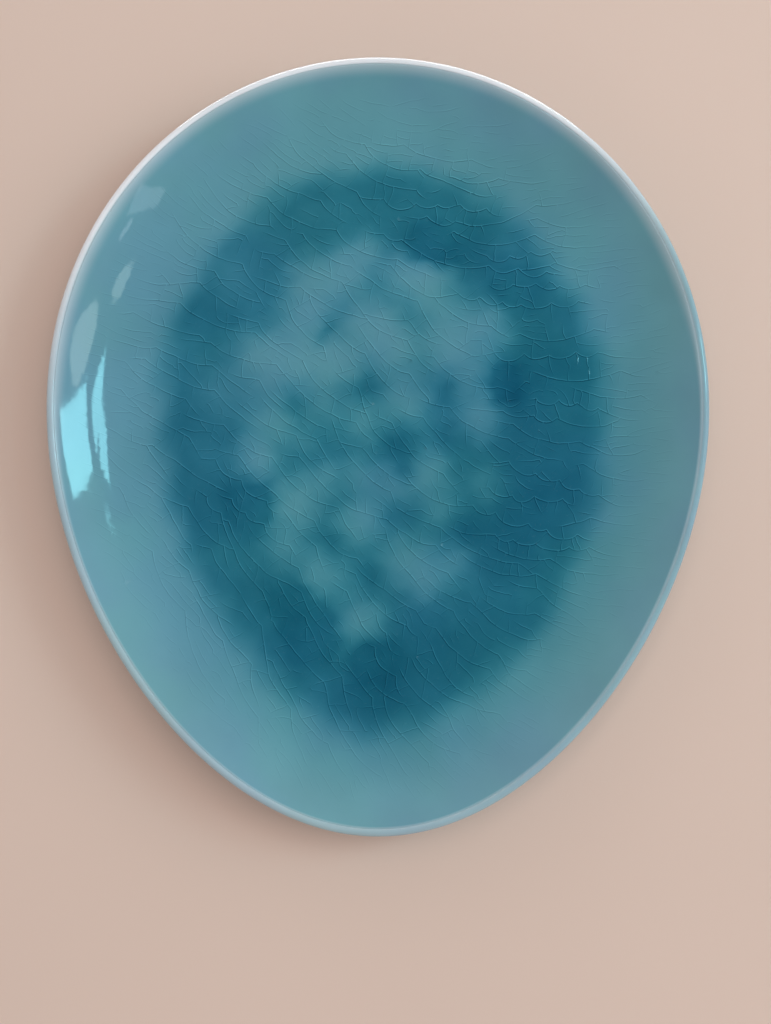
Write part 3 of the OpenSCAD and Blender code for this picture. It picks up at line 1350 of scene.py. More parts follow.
@dataclass(frozen=True)
class GlazeFinish:
    """A glossy glaze whose colour comes from how deep it lies, with painted light and shade on its crack
    seams.
    """

    name: str
    clay: tuple
    cool_clay: tuple
    holds_back: tuple
    # The roughness where the glaze is glossiest, and how many times that where it is dullest
    roughness: float = 0.035
    dullest: float = 1.6
    # Its skin is a little uneven, like an orange's
    peel: float = 0.012 * MM
    peel_scale: float = 170.0
    # How much the clouds change the colour and the depth, and what part of a tint's noise counts
    cloud_scale: float = 34.0
    clouding: float = 0.04
    uneven: float = 0.05
    tint_from: float = 0.36
    tint_to: float = 0.64
    bare: tuple = (0.80, 0.81, 0.87, 1.0)
    # Depths in millimetres between which the pale clay shows through
    bare_from: float = 0.42
    bare_to: float = 0.06
    # Painted seam light and shade: how much less or more glass the lit or shaded side shows, and how much
    # lighter or darker it is
    seam_painted_depth: float = 0.075
    seam_painted_glint: float = 0.20
    # Fine crazing, and flecks: how strong they are, their scale and their colour
    fine_craze: float = 0.0
    craze_scale: float = 150.0
    craze_width: float = 0.035
    craze_colour: tuple = (0.03, 0.06, 0.07, 1.0)
    flecks: float = 0.012
    fleck_scale: float = 1100.0
    fleck_colour: tuple = (0.6, 0.7, 0.7, 1.0)
    bends_light: float = 1.5

    def make(self, effects: Effects) -> bpy.types.Material:
        """Makes the material.

        Args:
            effects: the shared node groups.

        Returns:
            The material.
        """
        material, sheet, shader = new_material(self.name)
        place = sheet.add("ShaderNodeTexCoord").outputs["Object"]
        scales = {"Cloud Scale": self.cloud_scale, "Fleck Scale": self.fleck_scale}
        mottle = effects.mottle.place(sheet, {"Place": place, **scales})
        # The seams' painted light and shade: about 1 on a seam's lit side, -1 on its shaded side, 0
        # elsewhere
        painted_seam_light = sheet.add("ShaderNodeAttribute", attribute_name=PAINTED_SEAM_LAYER).outputs["Fac"]
        colour = self._through_glass(effects, sheet, mottle, painted_seam_light)
        shade = sheet.spread(mottle["Cloud"], 1.0 + self.clouding, 1.0 - self.clouding)
        # Random cloudy tone, times painted light on the seams' lit sides and painted shade on their shaded
        # sides
        cloud_and_painted_seam_light = sheet.maths("ADD", shade, sheet.maths("MULTIPLY", painted_seam_light, self.seam_painted_glint))
        colour = sheet.mix(1.0, colour, cloud_and_painted_seam_light, "MULTIPLY")
        lines = {"Place": place, "Scale": self.craze_scale, "Width": self.craze_width}
        hair = effects.hairline.place(sheet, lines)["Mask"]
        colour = sheet.mix(sheet.maths("MULTIPLY", hair, self.fine_craze), colour, self.craze_colour)
        flecks = sheet.maths("MULTIPLY", mottle["Fleck"], self.flecks)
        colour = sheet.mix(flecks, colour, self.fleck_colour)
        sheet.tree.links.new(colour, shader.inputs["Base Color"])
        rough = sheet.spread(mottle["Cloud"], self.roughness, self.roughness * self.dullest)
        sheet.tree.links.new(rough, shader.inputs["Roughness"])
        skin = sheet.noise(place, self.peel_scale, 2.0).outputs["Fac"]
        bump = sheet.add("ShaderNodeBump", {"Height": skin, "Distance": self.peel, "Strength": 1.0})
        sheet.tree.links.new(bump.outputs[0], shader.inputs["Normal"])
        shader.inputs["IOR"].default_value = self.bends_light
        return material

    def _through_glass(self, effects: Effects, sheet: Sheet, mottle: object, painted_seam_light: object) -> object:
        """The clay's colour, seen through the glaze that lies over it.

        Args:
            effects: the shared node groups.
            sheet: the material's sheet.
            mottle: the outputs of the mottle group.
            painted_seam_light: painted light and shade on the seams at the place, about 1 on a lit side and
                -1 on a shaded side.

        Returns:
            The output socket with the colour.
        """
        depth = sheet.add("ShaderNodeAttribute", attribute_name=DEPTH_LAYER).outputs["Fac"]
        uneven = sheet.spread(mottle["Cloud"], 1.0 - self.uneven, 1.0 + self.uneven)
        tint = sheet.remap(mottle["Tint"], self.tint_from, self.tint_to, 0.0, 1.0)
        clay = sheet.mix(tint, self.clay, self.cool_clay)
        clay = sheet.mix(sheet.remap(depth, self.bare_to, self.bare_from, 1.0, 0.0), clay, self.bare)
        # Painted seam light and shade: the lit side seems to look through less glaze, the shaded side
        # through more
        through = sheet.maths("SUBTRACT", 1.0, sheet.maths("MULTIPLY", painted_seam_light, self.seam_painted_depth))
        seen = sheet.maths("MULTIPLY", sheet.maths("MULTIPLY", depth, uneven), through)
        inputs = {"Depth": seen, "Clay": clay, "Holds Back": self.holds_back}
        return effects.melt.place(sheet, inputs)["Colour"]


@dataclass(frozen=True)
class ClayFinish:
    """Bare fired stoneware."""

    name: str = "bare_clay"
    pale: tuple = (0.56, 0.44, 0.33, 1.0)
    dark: tuple = (0.40, 0.28, 0.19, 1.0)
    grain: float = 0.12 * MM
    roughness: float = 0.85

    def make(self, effects: Effects) -> bpy.types.Material:
        """Makes the material.

        Args:
            effects: the shared node groups.

        Returns:
            The material.
        """
        material, sheet, shader = new_material(self.name)
        place = sheet.add("ShaderNodeTexCoord").outputs["Object"]
        grain = effects.grain.place(sheet, {"Place": place, "Pale": self.pale, "Dark": self.dark})
        sheet.tree.links.new(grain["Colour"], shader.inputs["Base Color"])
        bump = sheet.add("ShaderNodeBump", {"Height": grain["Height"], "Distance": self.grain})
        sheet.tree.links.new(bump.outputs[0], shader.inputs["Normal"])
        shader.inputs["Roughness"].default_value = self.roughness
        return material


# ---------------------------------------------------------------- parts of the plate


@dataclass
class Finishes:
    """Every finish on the plate."""

    effects: Effects

    def __post_init__(self) -> None:
        """Makes each material once."""
        self.face = GlazeFinish(
            name="pooled_glaze",
            clay=(0.122, 0.312, 0.375, 1.0),
            cool_clay=(0.122, 0.292, 0.388, 1.0),
            holds_back=(0.70, 0.255, 0.19),
        ).make(self.effects)
        self.lip = GlazeFinish(
            name="lip_glaze",
            clay=(0.122, 0.31, 0.37, 1.0),
            cool_clay=(0.122, 0.29, 0.385, 1.0),
            holds_back=(0.70, 0.255, 0.19),
        ).make(self.effects)
        self.back = GlazeFinish(
            name="back_glaze",
            clay=(0.12, 0.31, 0.37, 1.0),
            cool_clay=(0.115, 0.285, 0.38, 1.0),
            holds_back=(1.2, 0.45, 0.34),
            roughness=0.08,
            peel=0.03 * MM,
            fine_craze=0.3,
        ).make(self.effects)
        self.clay = ClayFinish().make(self.effects)


def settle(piece: bpy.types.Object, node: str, material: bpy.types.Material) -> None:
    """Dresses a piece and puts it in the place of its CAD node.

    Args:
        piece: the piece.
        node: the CAD node's name.
        material: its finish.
    """
    piece.data.materials.append(material)
    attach(piece, BODY)
    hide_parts(node)


@dataclass
class FaceGlaze:
    """The thick coloured glaze on the eating face, with its crackle as fine raised seams.

    Each seam also gets painted light and shade: the side that faces lit_from is painted lighter, as if it
    looked through less glaze and glinted, and the other side darker. A per-face layer holds that painted
    light: about 1 on the lit side, and -1 on the shaded side.
    """

    plate: Plate
    crackle: Crackle
    # The net of points between the cracks, and how clear of them it keeps. Millimetres
    spacing: float = 2.1
    clearance: float = 0.85
    lip_rings: tuple = (0.45, 1.0, 1.7, 2.6)
    same_point: float = 1e-5
    # A seam's height, how finely it is sampled, and the share of its half-width at which it starts
    rise: float = 0.045
    sample: float = 0.15
    toe: float = 0.08
    # Seams rise on the floor and not on the side
    rise_from: float = 24 * MM
    rise_over: float = 14 * MM
    # The way the light is painted from: a seam's painted lit side faces this way. Seams that run along it
    # differ less from side to side
    lit_from: tuple = (0.55, 0.83)
    turned_gain: float = 1.6
    painted_lit_side: float = 0.86
    painted_shaded_side: float = 1.14
    side_reach: float = 0.94
    # On the slope the seams' painted light and shade are fainter, up to shares of the side's width
    slope_side: float = 0.55
    slope_from: float = 0.3
    slope_over: float = 0.6
    # Faces with more painted light or shade than this keep a crisp edge
    crisp_from: float = 0.2
    side_rings: int = 14
    floor_rings: int = 16

    def _lines(self, cracks: list) -> tuple[np.ndarray, list, np.ndarray]:
        """The middle and both edges of each crack.

        Args:
            cracks: the cracks.

        Returns:
            The points, the index pairs that join them, and samples along the middle lines as
            x, y, half-width, strength and the unit vector across the crack towards its lit side.
        """
        points, pairs, samples = [], [], []
        for crack in cracks:
            along = np.gradient(crack.points, axis=0)
            along /= np.linalg.norm(along, axis=1, keepdims=True) + NO_ZERO
            across = np.stack([-along[:, 1], along[:, 0]], axis=-1)
            for side in (-1.0, 0.0, 1.0):
                first = len(points)
                points += (crack.points + side * across * crack.half_width[:, None]).tolist()
                pairs += [(k, k + 1) for k in range(first, len(points) - 1)]
            across *= np.sign(across @ np.array(self.lit_from))[:, None]
            steps = np.linalg.norm(np.diff(crack.points, axis=0), axis=1)
            runs = np.concatenate([[0.0], np.cumsum(steps)])
            at = np.linspace(0.0, runs[-1], max(2, int(runs[-1] / self.sample)))
            columns = (*crack.points.T, crack.half_width, crack.strength, *across.T)
            samples.append(np.column_stack([np.interp(at, runs, column) for column in columns]))
        return np.array(points), pairs, np.vstack(samples)

    def _filling(self, tree: KDTree) -> np.ndarray:
        """Points between the cracks: rings under the lip, and a staggered net over the rest.

        Args:
            tree: a search tree over the cracks.

        Returns:
            x and y of each point, in millimetres.
        """
        outline = self.plate.outline
        start = self.plate.profile.lip(self.plate.profile.lip_over).inset / MM
        rings = [outline.ring(self.plate.angles, (start + gap) * MM) / MM for gap in self.lip_rings]
        half = 0.5 * np.array([outline.box_width, outline.length]) / MM
        row_gap = self.spacing * ROW_SHARE
        net = []
        for row, y in enumerate(np.arange(-half[1], half[1], row_gap)):
            x = np.arange(-half[0], half[0], self.spacing) + 0.5 * self.spacing * (row % 2)
            net.append(np.column_stack([x, np.full(len(x), y)]))
        net = np.vstack(net)
        inset = outline.inset_at(net * MM) / MM
        net = net[inset > start + self.lip_rings[-1] + 0.5 * self.spacing]
        clear = [tree.find((x, y, 0.0))[2] > self.clearance for x, y in net]
        return np.vstack(rings + [net[np.array(clear)]])

    @staticmethod
    def _tree(samples: np.ndarray) -> KDTree:
        """A search tree over the cracks' middle lines.

        Args:
            samples: samples along the middle lines.

        Returns:
            The tree.
        """
        tree = KDTree(len(samples))
        for index, (x, y) in enumerate(samples[:, :2]):
            tree.insert((x, y, 0.0), index)
        tree.balance()
        return tree

    def _seam_rise(self, points: np.ndarray, tree: KDTree, samples: np.ndarray) -> np.ndarray:
        """How far the seams lift the glass at each point.

        Args:
            points: x and y in millimetres.
            tree: a search tree over the samples.
            samples: samples along the cracks.

        Returns:
            The lift at each point, in millimetres.
        """
        rise = np.zeros(len(points))
        for index, (x, y) in enumerate(points):
            _, sample, gap = tree.find((x, y, 0.0))
            share = 1.0 - gap / samples[sample, 2]
            if share > self.toe:
                rise[index] = share * self.rise * min(1.0, samples[sample, 3])
        return rise

    def _seam_painted_light(self, middles: np.ndarray, tree: KDTree, samples: np.ndarray) -> np.ndarray:
        """Painted light and shade on each face: about 1 on a seam's lit side, -1 on its shaded side, and 0
        off the seams.

        Args:
            middles: the faces' middles in millimetres.
            tree: a search tree over the samples.
            samples: samples along the cracks.

        Returns:
            The painted light or shade of each face.
        """
        lit_from = np.array(self.lit_from)
        side = np.zeros(len(middles))
        for index, (x, y) in enumerate(middles):
            _, sample, gap = tree.find((x, y, 0.0))
            sx, sy, half_width, strength, ax, ay = samples[sample]
            if gap < self.side_reach * half_width:
                over = (x - sx) * ax + (y - sy) * ay
                turned = min(1.0, self.turned_gain * abs(ax * lit_from[0] + ay * lit_from[1]))
                side[index] = strength * turned * (self.painted_lit_side if over > 0.0 else -self.painted_shaded_side)
        return side

    def build(self) -> bpy.types.Object:
        """Makes the mesh: a fine crackled top, a rim under the lip and a plain underside on the clay.

        Returns:
            The piece.
        """
        plate = self.plate
        line_points, line_pairs, samples = self._lines(self.crackle.grow())
        tree = self._tree(samples)
        start = plate.profile.lip(plate.profile.lip_over)
        rim = plate.outline.ring(plate.angles, start.inset) / MM
        count = plate.around
        flat = np.vstack([rim, line_points, self._filling(tree)])
        edges = [(j, (j + 1) % count) for j in range(count)]
        edges += [(a + count, b + count) for a, b in line_pairs]
        made = delaunay_2d_cdt([Vector(p) for p in flat], edges, [], 0, self.same_point, True)
        top = np.array([tuple(p) for p in made[0]])
        triangles = np.array([tuple(face) for face in made[2]])
        rim_row = self._find_rim(made[3], count)
        height, inset = plate.coat.face_height(top * MM)
        rise = self._seam_rise(top, tree, samples) * ease((inset - self.rise_from) / self.rise_over)
        depth = plate.coat.thickness(top * MM, inset)
        depth *= plate.rim_depth(np.arctan2(top[:, 1], top[:, 0]), inset - start.inset)
        vertices = np.column_stack([top * MM, height + rise * MM])
        vertices[rim_row] = np.column_stack([rim * MM, np.full(count, start.height)])
        # Painted light and shade on each top face beside a seam, fainter on the slope
        side = self._seam_painted_light(top[triangles].mean(1), tree, samples)
        share = inset[triangles].mean(1) / plate.outline.side_width
        whole = ease((share - self.slope_from) / self.slope_over)
        side *= self.slope_side + (1.0 - self.slope_side) * whole
        shell = Shell([tuple(v) for v in vertices], [tuple(t) for t in triangles], list(depth))
        self._close(shell, rim_row)
        return self._finish(shell, side)

    @staticmethod
    def _find_rim(origins: list, count: int) -> np.ndarray:
        """Where each rim point ended up among the mesh's points.

        Args:
            origins: the points that each of the mesh's points came from.
            count: how many rim points there are.

        Returns:
            The index of each rim point.
        """
        row = np.zeros(count, int)
        for made, olds in enumerate(origins):
            for old in olds:
                if old < count:
                    row[old] = made
        return row

    def _close(self, shell: Shell, rim_row: np.ndarray) -> None:
        """Adds the rim under the lip glaze and the underside that lies on the clay.

        Args:
            shell: the mesh so far.
            rim_row: the index of each rim point.
        """
        plate = self.plate
        count = plate.around
        start = plate.profile.lip(plate.profile.lip_over)
        rows = [shell.ring(plate.under(start, plate.coat.thin), plate.coat.thin)]
        for j in range(count):
            k = (j + 1) % count
            shell.faces.append((rim_row[j], rim_row[k], rows[0] + k, rows[0] + j))
        side = plate.outline.side_width
        centre = plate.outline.centre
        on_side = np.linspace(plate.first_inset, side, self.side_rings)
        on_floor = np.linspace(side, centre, self.floor_rings)[1:-1]
        for inset in [*on_side, *on_floor]:
            rows.append(shell.ring(plate.clay_under_face(inset), plate.coat.thin))
        shell.join(rows, count, closed=False)
        shell.cap(rows[-1], count, tuple(plate.clay_under_face(centre)[0]), plate.coat.thin)

    def _finish(self, shell: Shell, side: np.ndarray) -> bpy.types.Object:
        """Adds the layer of painted light and shade on the seams, and keeps the seams' own faces crisp.

        Args:
            shell: the whole mesh.
            side: painted light and shade on each top face, about 1 on a seam's lit side and -1 on its shaded
                side.

        Returns:
            The piece.
        """
        name = "face_glaze_crackled"
        mesh = bpy.data.meshes.new(name)
        mesh.from_pydata(shell.vertices, [], shell.faces)
        depths = mesh.attributes.new(DEPTH_LAYER, "FLOAT", "POINT")
        depths.data.foreach_set("value", np.array(shell.depths, np.float32) / MM)
        painted_seam_light = np.zeros(len(shell.faces), np.float32)
        painted_seam_light[: len(side)] = side
        mesh.attributes.new(PAINTED_SEAM_LAYER, "FLOAT", "FACE").data.foreach_set("value", painted_seam_light)
        return finish_mesh(name, mesh, np.abs(painted_seam_light) > self.crisp_from)

    def dress(self, piece: bpy.types.Object, finishes: Finishes) -> None:
        """Gives the piece its finish and its place."""
        settle(piece, "face_glaze", finishes.face)


@dataclass
class LipGlaze:
    """The thin pale glaze over the rolled lip."""

    plate: Plate
    barest: float = 0.05 * MM
    thickest: float = 0.285 * MM
    # Painted shade and light round the lip: thicker, darker glaze on the right, and the barest, palest
    # stretch a little past the broad end
    painted_shade_right: float = 0.045 * MM
    painted_light_bearing: float = math.radians(102)
    painted_light_spread: float = 1.1

    def _depth(self, turn: float) -> np.ndarray:
        """Depth of the glaze at an angle round the roll: barest over the top. Round the plate it is barest
        at the broad end, as painted light, and thicker on the right, as painted shade.

        Args:
            turn: the angle round the roll.

        Returns:
            The depth at each angle round the plate.
        """
        plate = self.plate
        profile = plate.profile
        # Painted light: barest and palest towards the broad end. Painted shade: thicker and darker on the
        # right
        away = 1.0 - np.cos(plate.angles - self.painted_light_bearing)
        over = self.barest + (self.thickest - self.barest) * ease(self.painted_light_spread * away)
        over += self.painted_shade_right * np.maximum(0.0, np.cos(plate.angles))
        if turn > 0.5 * math.pi:
            share = (turn - 0.5 * math.pi) / (profile.lip_over - 0.5 * math.pi)
            end = plate.rim_depth(plate.angles, 0.0) * plate.coat.thin
            return over + (end - over) * share * share
        share = max(0.0, turn / profile.lip_under)
        return over + (plate.coat.thin - over) * share

    def build(self) -> bpy.types.Object:
        """Makes a closed hoop: the skin outwards, and back along the clay.

        Returns:
            The piece.
        """
        plate = self.plate
        shell = Shell()
        stations = [plate.profile.lip(turn) for turn in plate.lip_turns]
        rows = []
        for turn, station in zip(plate.lip_turns, stations):
            rows.append(shell.ring(plate.skin(station), self._depth(turn)))
        for station in reversed(stations):
            rows.append(shell.ring(plate.under(station, plate.coat.thin), plate.coat.thin))
        shell.join(rows, plate.around, closed=True)
        return shell.build("lip_glaze_roll")

    def dress(self, piece: bpy.types.Object, finishes: Finishes) -> None:
        """Gives the piece its finish and its place."""
        settle(piece, "lip_glaze", finishes.lip)


@dataclass
class BackGlaze:
    """The glaze on the back, which ends in a rounded roll short of the foot."""

    plate: Plate
    rings: int = 44
    roll_steps: int = 6
    # How deep the colour looks on the coat and on its roll, in thin coats
    coat_depth: float = 1.4
    roll_depth: float = 2.2

    def build(self) -> bpy.types.Object:
        """Makes a closed hoop from the lip to the dry margin.

        Returns:
            The piece.
        """
        plate = self.plate
        thin = plate.coat.thin
        shell = Shell()
        start = plate.profile.lip(plate.profile.lip_under)
        end = plate.foot_inset - plate.dry_margin
        insets = np.linspace(start.inset, end, self.rings)[1:]
        stations = [start] + [plate.profile.back(inset) for inset in insets]
        rows = [shell.ring(plate.skin(station), thin * self.coat_depth) for station in stations]
        for turn in np.linspace(0.0, 0.5 * math.pi, self.roll_steps)[1:-1]:
            height = plate.profile.foot_height + thin * (1.0 - math.cos(turn))
            roll = plate.level(end + thin * math.sin(turn), height)
            rows.append(shell.ring(roll, thin * self.roll_depth))
        for station in reversed(stations):
            rows.append(shell.ring(plate.under(station, thin), thin))
        shell.join(rows, plate.around, closed=True)
        return shell.build("back_glaze_coat")

    def dress(self, piece: bpy.types.Object, finishes: Finishes) -> None:
        """Gives the piece its finish and its place."""
        settle(piece, "back_glaze", finishes.back)


@dataclass
class FootWellGlaze:
    """The panel of glaze inside the foot ring."""

    plate: Plate
    rings: int = 26
    roll_steps: int = 6
    # How deep the colour looks on the coat and on its roll, in thin coats
    coat_depth: float = 1.5
    roll_depth: float = 2.0

    def build(self) -> bpy.types.Object:
        """Makes a thin closed dish with a rounded edge.

        Returns:
            The piece.
        """
        plate = self.plate
        thin = plate.coat.thin
        base = plate.profile.foot_height
        edge = plate.foot_inset + plate.foot_width + plate.dry_margin
        centre = plate.outline.centre
        insets = np.linspace(edge, centre, self.rings, endpoint=False)
        shell = Shell()
        rows = [shell.ring(plate.level(i, base + thin), thin) for i in insets[::-1]]
        shell.cap(rows[0], plate.around, (0.0, 0.0, base + thin), thin)
        for turn in np.linspace(0.5 * math.pi, 0.0, self.roll_steps)[1:]:
            inset = edge + thin * (1.0 - math.sin(turn))
            roll = plate.level(inset, base + thin * (1.0 - math.cos(turn)))
            rows.append(shell.ring(roll, thin * self.roll_depth))
        rows += [shell.ring(plate.level(i, base), thin * self.coat_depth) for i in insets[1:]]
        shell.cap(rows[-1], plate.around, (0.0, 0.0, base), thin * self.coat_depth)
        shell.join(rows, plate.around, closed=False)
        return shell.build("foot_well_glaze_panel")

    def dress(self, piece: bpy.types.Object, finishes: Finishes) -> None:
        """Gives the piece its finish and its place."""
        settle(piece, "foot_well_glaze", finishes.back)


@dataclass
class ClayBody:
    """The clay under every coat. It shows only beside the foot ring."""

    plate: Plate
    floor_rings: int = 20
    side_rings: int = 16
    back_rings: int = 24
    under_rings: int = 14

    def build(self) -> bpy.types.Object:
        """Makes a closed dish: face, lip, back and underside.

        Returns:
            The piece.
        """
        plate = self.plate
        thin = plate.coat.thin
        side = plate.outline.side_width
        centre = plate.outline.centre
        shell = Shell()
        on_floor = np.linspace(centre, side, self.floor_rings)[1:]
        on_side = np.linspace(side, plate.first_inset, self.side_rings)[1:]
        rows = [shell.ring(plate.clay_under_face(i), 0.0) for i in [*on_floor, *on_side]]
        shell.cap(rows[0], plate.around, tuple(plate.clay_under_face(centre)[0]), 0.0)
        start = plate.profile.lip(plate.profile.lip_under).inset
        on_back = np.linspace(start, plate.foot_inset, self.back_rings)[1:]
        under = np.linspace(plate.foot_inset, centre, self.under_rings)[1:-1]
        stations = [plate.profile.lip(turn) for turn in plate.lip_turns[::2]]
        stations += [plate.profile.back(inset) for inset in [*on_back, *under]]
        rows += [shell.ring(plate.under(station, thin), 0.0) for station in stations]
        low = plate.profile.foot_height + thin
        shell.cap(rows[-1], plate.around, (0.0, 0.0, low), 0.0)
        shell.join(rows, plate.around, closed=False)
        return shell.build("clay_body_pressed")

    def dress(self, piece: bpy.types.Object, finishes: Finishes) -> None:
        """Gives the piece its finish and its place."""
        settle(piece, "clay_body", finishes.clay)


@dataclass
class FootRing:
    """The bare ring under the plate, with worn corners and a smeared joint with the clay above."""

    plate: Plate
    corner: float = 0.9 * MM
    smear: float = 0.8 * MM
    corner_steps: int = 6

    def _section(self) -> list:
        """The ring's section as insets and heights, from the outer joint down and back up inside.

        Returns:
            An inset and a height for each corner.
        """
        plate = self.plate
        outer = plate.foot_inset
        inner = outer + plate.foot_width
        top = plate.profile.foot_height + plate.coat.thin
        turns = np.linspace(0.0, 0.5 * math.pi, self.corner_steps)
        joint, corner = [], []
        for turn in turns:
            rest_in = 1 - math.sin(turn)
            rest_up = 1 - math.cos(turn)
            joint.append((outer - self.smear * rest_in, top - self.smear * rest_up))
            corner.append((outer + self.corner * rest_up, self.corner * rest_in))
        left = joint + corner
        return left + [(inner + outer - inset, height) for inset, height in reversed(left)]

    def build(self) -> bpy.types.Object:
        """Makes a closed hoop of the section.

        Returns:
            The piece.
        """
        plate = self.plate
        shell = Shell()
        rows = [shell.ring(plate.level(inset, height), 0.0) for inset, height in self._section()]
        shell.join(rows, plate.around, closed=True)
        return shell.build("foot_ring_bare")

    def dress(self, piece: bpy.types.Object, finishes: Finishes) -> None:
        """Gives the piece its finish and its place."""
        settle(piece, "foot_ring", finishes.clay)


# ---------------------------------------------------------------- studio


class LampShape(Enum):
    """Outlines of a lamp."""

    PANEL = "RECTANGLE"
    OVAL = "ELLIPSE"


@dataclass(frozen=True)
class Lamp:
    """An area light: where it hangs and faces, its width and height, its radiance and its colour."""

    name: str
    centre: tuple
    facing: tuple
    size: tuple
    glow: float
    colour: tuple
    shape: LampShape = LampShape.PANEL
    roll: float = 0.0
    lights: bool = True
    reflects: bool = True

    def hang(self) -> None:
        """Puts the lamp in the scene."""
        light = bpy.data.lights.new(self.name, "AREA")
        light.shape = self.shape.value
        light.size, light.size_y = self.size
        light.energy = self.glow * math.pi * self.size[0] * self.size[1]
        light.color = self.colour
        lamp = bpy.data.objects.new(self.name, light)
        turn = Vector(self.facing).to_track_quat("-Z", "Y").to_matrix().to_4x4()
        roll = Matrix.Rotation(self.roll, 4, "Z")
        lamp.matrix_world = Matrix.Translation(Vector(self.centre)) @ turn @ roll
        lamp.visible_diffuse = self.lights
        lamp.visible_glossy = self.reflects
        bpy.context.scene.collection.objects.link(lamp)


# How far to the side the window's wall stands, and the colours of the light
WINDOW_WALL = 0.8
WARM = (1.0, 0.93, 0.87)
WHITE = (1.0, 0.97, 0.93)
DAY = (0.92, 0.97, 1.0)
SKY = (0.33, 0.88, 1.0)
HAZE = (0.80, 1.0, 0.93)
DUSK = (0.75, 0.88, 1.0)


def soft_box(name: str, centre: tuple, side: float, glow: float, colour: tuple) -> Lamp:
    """A square lamp that faces the plate and leaves no reflection in it."""
    facing = tuple(-part for part in centre)
    return Lamp(name, centre, facing, (side, side), glow, colour, reflects=False)


def pane(
    name: str, along: float, height: float, size: tuple, glow: float, colour: tuple, **rest: object
) -> Lamp:
    """A lit pane in the window's wall, its middle so far along the wall and so high."""
    return Lamp(name, (WINDOW_WALL, along, height), (-1.0, 0.0, 0.0), size, glow, colour, **rest)


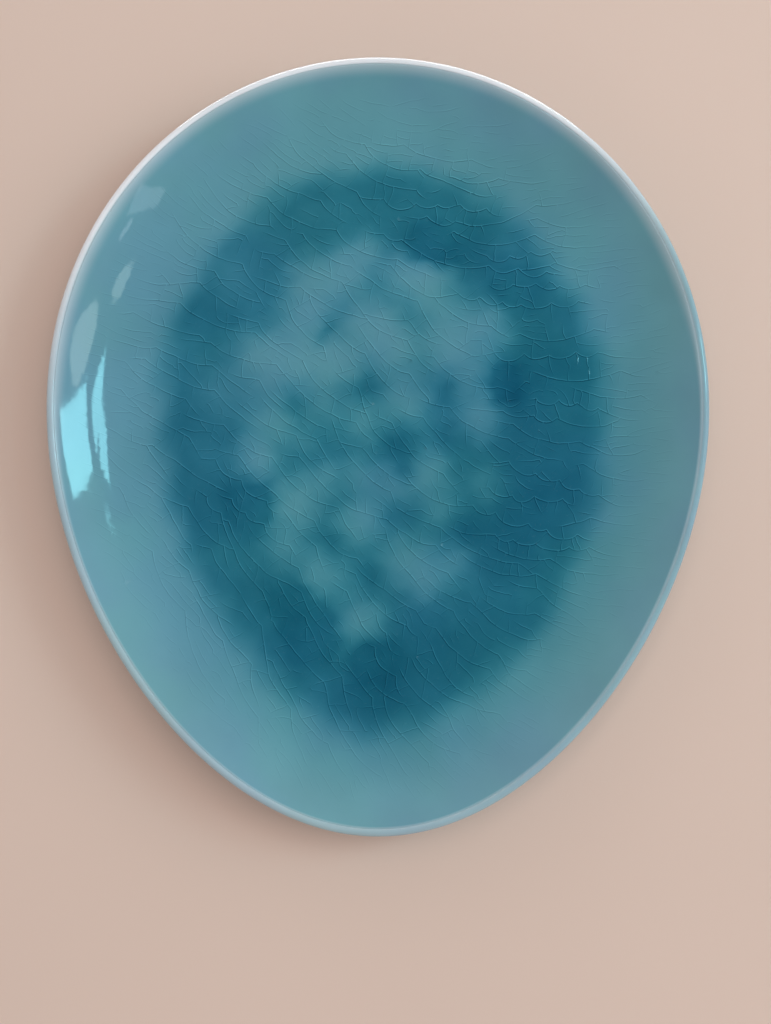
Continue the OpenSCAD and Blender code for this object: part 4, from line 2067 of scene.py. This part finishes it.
@dataclass
class Studio:
    """A plain paper floor, a paper tent of light with a window at one side, and the camera."""

    floor_half: float = 1.6
    floor_cells: int = 40
    paper: tuple = (0.74, 0.56, 0.49, 1.0)
    # The paper's clouds: how much darker, and how many to a metre
    paper_darker: float = 0.9
    paper_clouds: float = 4.0
    paper_roughness: float = 0.8
    target: tuple = (0.25 * MM, -1.26 * MM, 12 * MM)
    distance: float = 0.455
    elevation: float = math.radians(83)
    lens: float = 43.6
    sensor: float = 36.0
    # Where the target lands, as shares of its distance: left of the frame's middle, and above it
    target_left: float = 0.00524
    target_up: float = 0.0532
    # The tent: its strength and its colour, and how it changes with height, depth and side.
    # Each change is where it starts and ends, and the share of the light at either end
    tent_strength: float = 0.85
    tent_colour: tuple = (1.0, 0.95, 0.91, 1.0)
    tent_by_height: tuple = (0.30, 0.95, 1.0, 0.08)
    tent_by_depth: tuple = (-0.8, 0.9, 0.75, 1.15)
    tent_by_side: tuple = (-0.9, 0.9, 0.85, 1.05)
    soft_boxes: tuple = (
        soft_box("top_soft_box", (0.1, 0.12, 1.5), 1.3, 2.25, WARM),
        soft_box("side_soft_box", (1.3, 0.1, 0.95), 0.8, 2.8, DAY),
    )
    # A low strip beyond the broad end, which shows only as a reflection
    strip: Lamp = Lamp(
        "low_strip", (0.0, 1.3, 0.14), (0.0, -1.0, 0.0), (1.7, 0.26), 15.0, WHITE, lights=False
    )
    panes: tuple = (
        pane("pane_low", 0.262, 0.80, (0.150, 0.34), 11.8, SKY, roll=0.05),
        pane("pane_upper", 0.222, 1.165, (0.085, 0.20), 10.5, SKY, roll=0.35),
        pane("pane_top", 0.312, 1.28, (0.125, 0.22), 10.0, SKY, roll=-0.35),
        pane("pane_grey", 0.075, 0.83, (0.19, 0.27), 2.4, HAZE, shape=LampShape.OVAL),
        pane("pane_far", -0.365, 1.03, (0.12, 0.34), 1.7, DUSK, roll=0.15),
        pane("pane_far_side", -0.243, 0.925, (0.06, 0.035), 2.4, DUSK),
        pane("pane_middle", -0.06, 1.28, (0.12, 0.32), 2.1, HAZE, shape=LampShape.OVAL),
        pane("pane_corner", 0.431, 1.10, (0.009, 0.12), 9.0, SKY),
    )

    def lay_floor(self) -> None:
        """Makes the floor and its paper."""
        work = bmesh.new()
        cells = self.floor_cells
        bmesh.ops.create_grid(work, x_segments=cells, y_segments=cells, size=self.floor_half)
        mesh = bpy.data.meshes.new("paper_floor")
        work.to_mesh(mesh)
        work.free()
        floor = bpy.data.objects.new("paper_floor", mesh)
        bpy.context.scene.collection.objects.link(floor)
        material, sheet, shader = new_material("pale_paper")
        place = sheet.add("ShaderNodeTexCoord").outputs["Object"]
        cloud = sheet.noise(place, self.paper_clouds, 2.0).outputs["Fac"]
        darker = tuple(self.paper_darker * part for part in self.paper[:3]) + (1.0,)
        sheet.tree.links.new(sheet.mix(cloud, self.paper, darker), shader.inputs["Base Color"])
        shader.inputs["Roughness"].default_value = self.paper_roughness
        mesh.materials.append(material)
        floor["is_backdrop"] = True

    def light_tent(self) -> None:
        """Lights the plate from all round: dark overhead, and brightest low beyond the broad end."""
        world = bpy.data.worlds.new("paper_tent")
        world.use_nodes = True
        world.node_tree.nodes.clear()
        sheet = Sheet(world.node_tree)
        towards = sheet.add("ShaderNodeTexCoord").outputs["Generated"]
        parts = sheet.add("ShaderNodeSeparateXYZ", {0: towards}).outputs
        overhead = sheet.remap(parts[2], *self.tent_by_height)
        back = sheet.remap(parts[1], *self.tent_by_depth)
        side = sheet.remap(parts[0], *self.tent_by_side)
        level = sheet.maths("MULTIPLY", sheet.maths("MULTIPLY", overhead, back), side)
        colour = sheet.mix(level, (0.0, 0.0, 0.0, 1.0), self.tent_colour)
        shade = sheet.add("ShaderNodeBackground", {"Color": colour, "Strength": self.tent_strength})
        sheet.add("ShaderNodeOutputWorld", {"Surface": shade.outputs[0]})
        bpy.context.scene.world = world

    def hang_lights(self) -> None:
        """Hangs every lamp."""
        for lamp in (*self.soft_boxes, self.strip, *self.panes):
            lamp.hang()

    def place_camera(self) -> None:
        """Points the camera so that the target lands a little above the middle of the frame."""
        data = bpy.data.cameras.new("camera")
        data.lens = self.lens
        data.sensor_width = self.sensor
        camera = bpy.data.objects.new("camera", data)
        away = Vector((0.0, -math.cos(self.elevation), math.sin(self.elevation)))
        level = Vector((1.0, 0.0, 0.0))
        look = -away + self.target_left * level - self.target_up * away.cross(level)
        right = look.cross(Vector((0.0, 1.0, 0.0))).normalized()
        upward = right.cross(look).normalized()
        turn = Matrix((right, upward, -look.normalized())).transposed()
        stand = Vector(self.target) + self.distance * away
        camera.matrix_world = Matrix.Translation(stand) @ turn.to_4x4()
        bpy.context.scene.collection.objects.link(camera)
        bpy.context.scene.camera = camera

    def set_tones(self) -> None:
        """Keeps colours as they are."""
        view = bpy.context.scene.view_settings
        view.view_transform = "Standard"
        view.look = "None"
        view.exposure = 0.0


def main() -> None:
    """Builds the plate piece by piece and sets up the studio."""
    logging.basicConfig(level=logging.INFO, format="%(name)s: %(message)s")
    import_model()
    plate = Plate.from_frame()
    finishes = Finishes(Effects())
    crackle = Crackle(plate.outline)
    makers = (
        FaceGlaze(plate, crackle),
        LipGlaze(plate),
        BackGlaze(plate),
        FootWellGlaze(plate),
        ClayBody(plate),
        FootRing(plate),
    )
    for maker in makers:
        piece = maker.build()
        maker.dress(piece, finishes)
        log.info("dressed %s", piece.name)
    log.info("%d cracks", len(crackle.cracks))
    studio = Studio()
    studio.lay_floor()
    studio.light_tent()
    studio.hang_lights()
    studio.place_camera()
    studio.set_tones()


if __name__ == "__main__":
    main()
